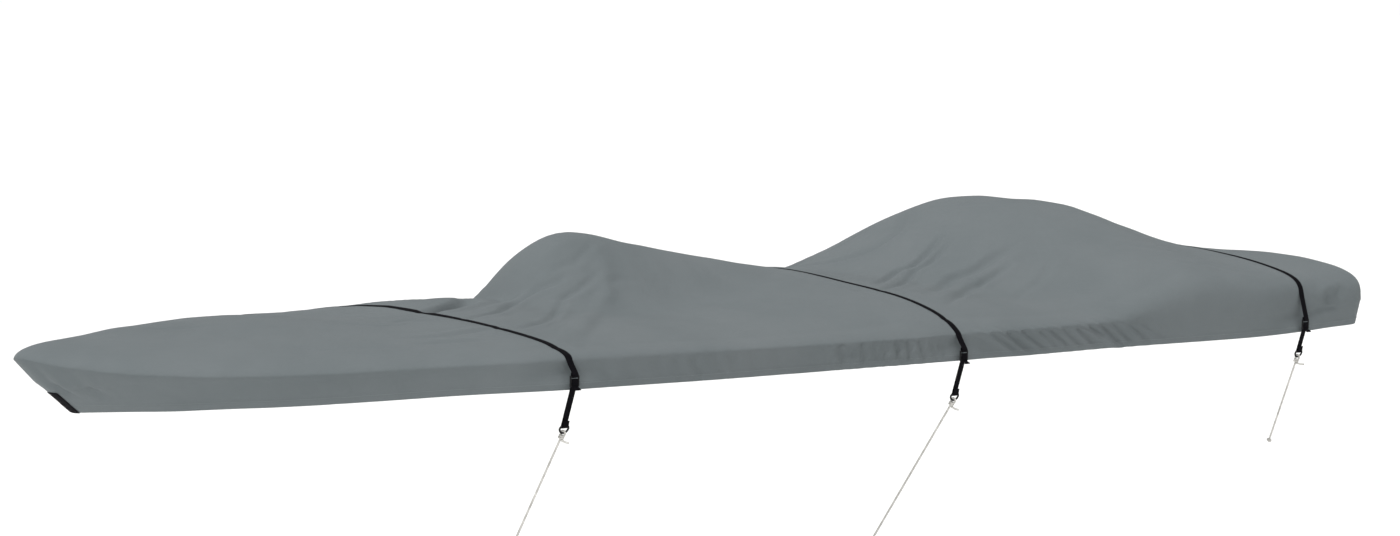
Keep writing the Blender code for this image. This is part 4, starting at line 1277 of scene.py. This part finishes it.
class StrapEnd:
    """Where a strap's end leaves the cloth, and the pieces that hang there."""

    def __init__(self, cloth, station, side, drop, tail, slope):
        s = (side + 1) // 2
        column = cloth.column_at(station)
        at = np.array([station])
        flat_crease = skirt_points(at, half_beam(at), side, 0.0)[0]
        self.side = side
        self.x = station
        self.slope = slope
        self.top_bar = (abs(flat_crease[1]) + BUCKLE_STANDOFF, flat_crease[2] - drop)
        self.low_bar = (self.top_bar[0] - BUCKLE_LEAN, self.top_bar[1] - BUCKLE_LENGTH)
        self.turn = BAR * math.sqrt(2) + SEAT + WEB / 2
        self.leave = cloth.leave_row(s, column, (self.top_bar[0] + self.turn, self.top_bar[1]))
        leaving = cloth.index[s, column, self.leave]
        shoulder = cloth.points[leaving] + cloth.normals[leaving] * (GAP + WEB / 2)
        self.hang = (abs(shoulder[1]), shoulder[2])
        reach = math.hypot(1, slope)
        self.lean = (-slope / reach, -1 / reach)
        self.ring_turn = RING_WIRE + SEAT + WEB / 2
        start = (self.low_bar[0] - self.turn, self.low_bar[1])
        self.ring_bar = (
            start[0] + self.lean[0] * tail - self.ring_turn * self.lean[1],
            start[1] + self.lean[1] * tail + self.ring_turn * self.lean[0],
        )

    def point(self, flat, x):
        return np.array((x, self.side * flat[0], flat[1]))

    def lines(self, path):
        """The webbing's lines along a flat path, and their outward sides."""
        path = np.array(path)
        run = unit(np.gradient(path, axis=0))
        normal = np.stack((-run[:, 1], run[:, 0]), axis=1)
        x = self.x + WEB_WIDTH / 2 * np.array(WEB_COLUMNS)
        grid = np.zeros((len(path), len(x), 3))
        out = np.zeros_like(grid)
        grid[..., 0] = x[None, :]
        grid[..., 1] = self.side * path[:, None, 0]
        grid[..., 2] = path[:, None, 1]
        out[..., 1] = self.side * normal[:, None, 0]
        out[..., 2] = normal[:, None, 1]
        return grid, out

    def strap_path(self):
        """From the cloth down to the top bar, round it and up behind."""
        out, high = self.top_bar
        front, behind, end = STRAP_TURNED
        third = ((2 * self.hang[0] + out + self.turn) / 3, (2 * self.hang[1] + high) / 3)
        down = smooth_line([self.hang, third, (out + self.turn, high + front),
                            (out + self.turn, high)], 6)
        path = list(map(tuple, down[1:]))
        path += arc(self.top_bar, self.turn, 0, -180, 12)[1:]
        path.append((out - self.turn + SEAT / 2, high + behind))
        path.append((out - self.turn + SEAT, high + end))
        return path

    def tail_path(self):
        """Loose end, up over the middle bar, down to the ring, round it and up in front."""
        out, high = self.low_bar
        hanging = [(out + outward, high + upward) for outward, upward in FLAP]
        flap = smooth_line(hanging + [(out + self.turn + 0.0008, high - 0.003),
                                      (out + self.turn, high)], 5)
        path = list(map(tuple, flap))
        middle = (out + BUCKLE_LEAN / 2, high + BUCKLE_LENGTH / 2 + PLATE_TOP - BAR)
        path += arc(middle, self.turn, 0, 180, 12)
        start = (out - self.turn, high)
        path.append(start)
        degrees = math.degrees(math.atan(self.slope))
        loop = arc(self.ring_bar, self.ring_turn, -180 - degrees, -degrees, 14)
        for share in np.linspace(0, 1, 10)[1:-1]:
            path.append(tuple(np.array(start) * (1 - share) + np.array(loop[0]) * share))
        path += loop
        end = np.array(loop[-1])
        lean = np.array(self.lean)
        inward = np.array((TAIL_DRAW * self.ring_turn, 0.0))
        for share in (0.4, 0.75, 1.0):
            path.append(tuple(end - lean * TAIL_RETURN * share - inward * ease(share)))
        return path

    def ring_low(self):
        low = np.array(self.ring_bar) + np.array(self.lean) * RING_DROP
        return self.point(low, self.x)


def add_strap(cloth, name, station, ends):
    """Webbing from the port buckle, over the cloth, to the starboard buckle."""
    middle = cloth.column_at(station)
    half = len(WEB_COLUMNS) // 2
    columns = np.arange(middle - half, middle + half + 1)
    lift = GAP + WEB / 2
    port, starboard = ends
    rows = [(0, row) for row in range(port.leave, cloth.rows)]
    rows += [(1, row) for row in range(cloth.rows - 2, starboard.leave - 1, -1)]
    middle_lines = np.zeros((len(rows), len(WEB_COLUMNS), 3))
    middle_out = np.zeros_like(middle_lines)
    for k, (s, row) in enumerate(rows):
        found = cloth.index[s][columns, row]
        middle_lines[k] = cloth.points[found] + cloth.normals[found] * lift
        middle_out[k] = cloth.normals[found]
    port_lines, port_out = port.lines(port.strap_path())
    far_lines, far_out = starboard.lines(starboard.strap_path())
    lines = np.concatenate((port_lines[::-1], middle_lines, far_lines))
    out = np.concatenate((port_out[::-1], middle_out, far_out))
    return dress(ribbon(name + "_webbing", lines, out, WEB_FINISH), "strap_webbing", name)


def add_tail(name, end):
    lines, out = end.lines(end.tail_path())
    return dress(ribbon(name + "_webbing", lines, out, WEB_FINISH), "strap_webbing", name)


# ---------------------------------------------------------------- hardware
BOX_SIDES = ((0, 1, 3, 2), (4, 6, 7, 5), (0, 4, 5, 1), (2, 3, 7, 6), (0, 2, 6, 4), (1, 5, 7, 3))


def rounded_box(mesh, low, high, radius, place):
    """A box with rounded edges, in (across, outward, up), put in place by a function."""
    corners = [(x, y, z) for x in (low[0], high[0]) for y in (low[1], high[1])
               for z in (low[2], high[2])]
    points = [mesh.verts.new(corner) for corner in corners]
    faces = [mesh.faces.new([points[k] for k in side]) for side in BOX_SIDES]
    edges = list({edge for face in faces for edge in face.edges})
    made = bmesh.ops.bevel(mesh, geom=edges, offset=radius, segments=3, profile=0.5,
                           affect="EDGES", clamp_overlap=True)
    moved = set(made["verts"]) | {point for point in points if point.is_valid}
    for point in moved:
        point.co = place(point.co)


CHEEK_DEEP = BAR * 1.25
CHEEK_LONG = BAR * 1.4   # past the centres of the outer bars
BUCKLE_BOW = 0.0008      # how far its middle stands out
TEETH = 8
TOOTH = 0.0008           # half width of one


def add_buckle(name, end):
    """Ladder-lock: two cheeks and three bars, the middle one toothed."""
    half_width = WEB_WIDTH / 2 + BUCKLE_PLAY + BUCKLE_CHEEK
    inner = half_width - BUCKLE_CHEEK
    low, high = end.low_bar[1], end.top_bar[1]
    lean = (end.top_bar[0] - end.low_bar[0]) / (high - low)

    def place(co):
        across, out, up = co
        bow = BUCKLE_BOW * (1 - (across / half_width) ** 2)
        flat = (end.low_bar[0] + lean * up + out + bow, low + up)
        return tuple(end.point(flat, end.x + across) - ORIGIN)

    mesh = bmesh.new()
    rise = high - low
    for sign in (-1, 1):
        sides = sorted((sign * inner, sign * half_width))
        rounded_box(mesh, (sides[0], -CHEEK_DEEP, -CHEEK_LONG),
                    (sides[1], CHEEK_DEEP, rise + CHEEK_LONG), 0.0010, place)
    middle = (rise / 2 - BAR, rise / 2 + PLATE_TOP)
    for below, above in ((-BAR, BAR), middle, (rise - BAR, rise + BAR)):
        rounded_box(mesh, (-inner - 0.001, -BAR, below), (inner + 0.001, BAR, above),
                    0.0007, place)
    for tooth in range(TEETH):
        across = -inner + (tooth + 0.5) * 2 * inner / TEETH
        rounded_box(mesh, (across - TOOTH, BAR * 0.6, rise / 2 - BAR * 0.8),
                    (across + TOOTH, BAR * 1.35, rise / 2 + BAR * 0.8), 0.0003, place)
    bmesh.ops.recalc_face_normals(mesh, faces=mesh.faces)
    data = bpy.data.meshes.new(name)
    mesh.to_mesh(data)
    mesh.free()
    data.shade_smooth()
    data.set_sharp_from_angle(angle=math.radians(45))
    data.materials.append(PLASTIC_FINISH)
    return dress(add_object(name + "_ladder_lock", data), "buckle_plastic", name)


def tube(name, line, radius, sides, finish, closed=False, relief=None):
    """A round section along a line; relief adds height by turn and distance."""
    line = np.array(line)
    count = len(line)
    if closed:
        run = unit(np.roll(line, -1, axis=0) - np.roll(line, 1, axis=0))
    else:
        run = unit(np.gradient(line, axis=0))
    first = np.zeros_like(line)
    seed = np.cross(run[0], (1.0, 0.0, 0.0))
    if np.linalg.norm(seed) < 0.3:
        seed = np.cross(run[0], (0.0, 1.0, 0.0))
    first[0] = unit(seed)
    for k in range(1, count):
        carried = first[k - 1] - run[k] * (first[k - 1] @ run[k])
        first[k] = unit(carried)
    second = np.cross(run, first)
    turn = 2 * math.pi * np.arange(sides) / sides
    reach = np.full((count, sides), radius)
    if relief is not None:
        reach = reach + relief(turn[None, :], distances(line)[:, None])
    ring = (first[:, None] * np.cos(turn)[None, :, None]
            + second[:, None] * np.sin(turn)[None, :, None])
    points = line[:, None] + ring * reach[..., None]
    grid = np.arange(count * sides).reshape(count, sides)
    if closed:
        grid = np.vstack((grid, grid[:1]))
    beside = np.roll(grid, -1, axis=1)
    faces = quads(grid[:-1], beside[:-1], beside[1:], grid[1:]).tolist()
    if not closed:
        faces.append(grid[0, ::-1].tolist())
        faces.append(grid[-1].tolist())
    piece = add_mesh(name, points.reshape(-1, 3), faces, finish)
    piece.data.set_sharp_from_angle(angle=SHARP)
    return piece


def add_ring(name, end):
    """Welded D ring: straight bar in the webbing's loop, bow below."""
    half = RING_WIDTH / 2
    flat = [(half * share, 0.0) for share in np.linspace(-0.86, 0.86, 9)]
    for angle in np.linspace(0, math.pi, 25)[1:-1]:
        flat.append((half * math.cos(angle), RING_DROP * (0.18 + 0.82 * math.sin(angle))))
    bar = np.array(end.ring_bar)
    lean = np.array(end.lean)
    line = [end.point(bar + lean * down, end.x + across) for across, down in flat]
    piece = tube(name + "_wire", line, RING_WIRE, 16, STEEL_FINISH, closed=True)
    return dress(piece, "ring_metal", name)


CORD_STEP = 0.0011       # between rings along a cord, fine enough for its braid


def braid(turn, along):
    """Sixteen strands, eight each way, that cross on a cord's face."""
    strands, pitch, depth = 8, 0.020, 0.0003
    left = np.abs(np.sin(strands / 2 * turn + math.pi * strands * along / pitch / 2))
    right = np.abs(np.sin(strands / 2 * turn - math.pi * strands * along / pitch / 2))
    return -depth * (1 - np.maximum(left, right))


def tie_points(end, drop, inboard, ahead):
    """Directions and stations of a tie: its hitch under the ring and its cord."""
    ring_low = end.ring_low()
    pull = np.array((-ahead, -end.side * inboard, -drop))
    length = float(np.linalg.norm(pull))
    pull = pull / length
    start = ring_low + pull * (RING_WIRE + SEAT)
    aft, outboard, upward = FREE_END_AIM
    across = np.array((aft, end.side * outboard, upward))
    across = unit(across - pull * (across @ pull))
    return ring_low, pull, length, start, across


def add_hitch(name, nodes, ring_low, pull, start, across):
    """Cord round the ring, two turns round itself, and the loose end."""
    thin = CORD / 2 * 0.95
    second = np.cross(pull, across)
    up = -pull
    wire = RING_WIRE + thin * 1.2
    path = [start + pull * (KNOT_LENGTH + 0.001), start + pull * 0.012 - across * 0.0012,
            ring_low + pull * 0.004 - across * wire * 0.9]
    for angle in (150, 115, 80, 45, 10):
        a = math.radians(angle)
        path.append(ring_low + across * math.cos(a) * wire + up * math.sin(a) * wire)
    turns, radius = 2.1, CORD * 0.98
    first_down, last_down = 0.0040, KNOT_LENGTH - 0.010
    steps = 22
    for step in range(steps + 1):
        share = step / steps
        a = 2 * math.pi * turns * share
        down = first_down + (last_down - first_down) * share
        path.append(start + pull * down + across * math.cos(a) * radius
                    + second * math.sin(a) * radius)
    last = path[-1]
    for share in (0.25, 0.5, 0.75, 1.0):
        path.append(last + (across + up * 0.2) * FREE_END * share
                    + second * 0.004 * math.sin(3 * share))
    line = smooth_line(path, 4)
    return dress(tube(name, line, thin, 12, CORD_FINISH, relief=braid), "tie_cord", *nodes)


def add_stopper(name, node_name, end_point, pull):
    """Overhand knot that stops the far end."""
    size = 0.0024
    first = unit(np.cross(pull, (1.0, 0.0, 0.0)))
    second = np.cross(pull, first)
    centre = end_point + pull * (SEAT + STOP_LENGTH / 2)
    line = []
    for t in np.linspace(0, 2 * math.pi, 49)[:-1]:
        x = math.sin(t) + 2 * math.sin(2 * t)
        y = math.cos(t) - 2 * math.cos(2 * t)
        z = -math.sin(3 * t)
        line.append(centre + (first * x + pull * y * 1.15 + second * z * 1.2) * size)
    piece = tube(name, line, CORD / 2 * 0.86, 12, CORD_FINISH, closed=True)
    return dress(piece, "tie_cord", node_name)


def add_tie(name, end, drop, inboard, ahead):
    """Cord pulled tight from its hitch down to its stopper knot."""
    ring_low, pull, length, start, across = tie_points(end, drop, inboard, ahead)
    hitch = add_hitch(name + "_hitch", (name + "_knot", name + "_loose_end"),
                      ring_low, pull, start, across)
    top = start + pull * (KNOT_LENGTH + SEAT)
    bottom = start + pull * length
    stopper = add_stopper(name + "_stopper", name + "_end_knot", bottom, pull)
    real = float(np.linalg.norm(bottom - top))
    steps = int(real / CORD_STEP)
    line = top + (bottom - top) * np.linspace(0, 1, steps + 1)[:, None]
    cord = dress(tube(name + "_line", line, CORD / 2, 24, CORD_FINISH, relief=braid),
                 "tie_cord", name + "_cord")
    path = [tuple(point - ORIGIN) for point in line[:: max(steps // 30, 1)]]
    path[-1] = tuple(bottom - ORIGIN)
    return cord


def add_bow_tab(cloth):
    """Webbing sewn round the stem, over the hem."""
    rows = [row for row in range(cloth.crease) if SKIRT_ROWS[row] < TAB_RISE][::-1]
    lines = np.zeros((len(rows), len(WEB_COLUMNS), 3))
    out = np.zeros_like(lines)
    column = cloth.column_at(TAB_STATION)
    for k, row in enumerate(rows):
        run = np.concatenate((cloth.index[0, column:0:-1, row], cloth.index[1, :column + 1, row]))
        reach = distances(cloth.points[run])
        share = 2 * reach / reach[-1] - 1
        lines[k] = along_line(WEB_COLUMNS, share, cloth.points[run])
        out[k] = along_line(WEB_COLUMNS, share, cloth.normals[run])
    out = unit(out)
    lines += out * (GAP + WEB)
    return dress(ribbon("bow_tab_webbing", lines, out, WEB_FINISH), "strap_webbing", "bow_tab")


# ---------------------------------------------------------------- the cover and its fittings
cloth = form_cloth()
STRAP_ENDS = {}
for strap_name, station, drop, length, slope in STRAPS:
    STRAP_ENDS[strap_name] = [
        StrapEnd(cloth, station, side, drop, length, slope) for side in (PORT, STARBOARD)
    ]
for tie_name, strap_name, fall, inboard, ahead in TIES:
    add_tie(tie_name, STRAP_ENDS[strap_name][0], fall, inboard, ahead)
for strap_name, station, *_ in STRAPS:
    add_strap(cloth, strap_name, station, STRAP_ENDS[strap_name])
    for end, word in zip(STRAP_ENDS[strap_name], ("port", "starboard")):
        add_buckle(f"{strap_name}_buckle_{word}", end)
        add_tail(f"{strap_name}_tail_{word}", end)
        add_ring(f"{strap_name}_ring_{word}", end)
cover = add_cover(cloth)
stitches = add_hem_stitches(cloth)
add_bow_tab(cloth)


# ---------------------------------------------------------------- studio
HORIZON = 1.02           # strength of the surround in its low band
SURROUND = 0.45          # and above it
TRAILER = 0.60           # lowest cord's end above the floor
FLOOR_REACH = 900.0      # the floor runs on past where the eye can tell


def add_floor():
    """A large plain floor as far below the cords as a trailer stands high."""
    level = CAD_BOX[0][2] - TRAILER
    mesh = bpy.data.meshes.new("floor")
    corners = [(FLOOR_REACH * x, FLOOR_REACH * y, level)
               for x, y in ((-1, -1), (1, -1), (1, 1), (-1, 1))]
    mesh.from_pydata(corners, [], [(0, 1, 2, 3)])
    mesh.materials.append(studio_floor())
    floor = add_object("floor", mesh)


def add_softbox(name, toward, strength, angle):
    """A distant softbox: even light over the whole length, with soft shadows."""
    data = bpy.data.lights.new(name, "SUN")
    data.energy = strength
    data.angle = math.radians(angle)
    level = math.hypot(toward[0], toward[1])
    add_object(name, data).rotation_euler = (
        math.atan2(level, toward[2]), 0.0, math.atan2(toward[1], toward[0]) + math.pi / 2)


def add_world():
    """Soft white surround, brighter in a low band where it meets the floor."""
    world = bpy.data.worlds.new("studio")
    world.use_nodes = True
    tree = world.node_tree
    where = node(tree, "ShaderNodeTexCoord")
    split = node(tree, "ShaderNodeSeparateXYZ", feeds={"Vector": where.outputs["Generated"]})
    fade = node(tree, "ShaderNodeMapRange", {"From Min": 0.02, "From Max": 0.10,
                                             "To Min": HORIZON, "To Max": SURROUND},
                {"Value": split.outputs["Z"]})
    background = tree.nodes["Background"]
    background.inputs["Color"].default_value = srgb("#FFFFFF")
    tree.links.new(fade.outputs["Result"], background.inputs["Strength"])
    bpy.context.scene.world = world


add_floor()
add_world()
add_softbox("key", (-0.30, -0.08, 0.95), 2.5, 28.0)
add_softbox("fill", (-0.85, -0.50, 0.20), 1.0, 24.0)
bpy.context.scene.view_settings.view_transform = "Standard"
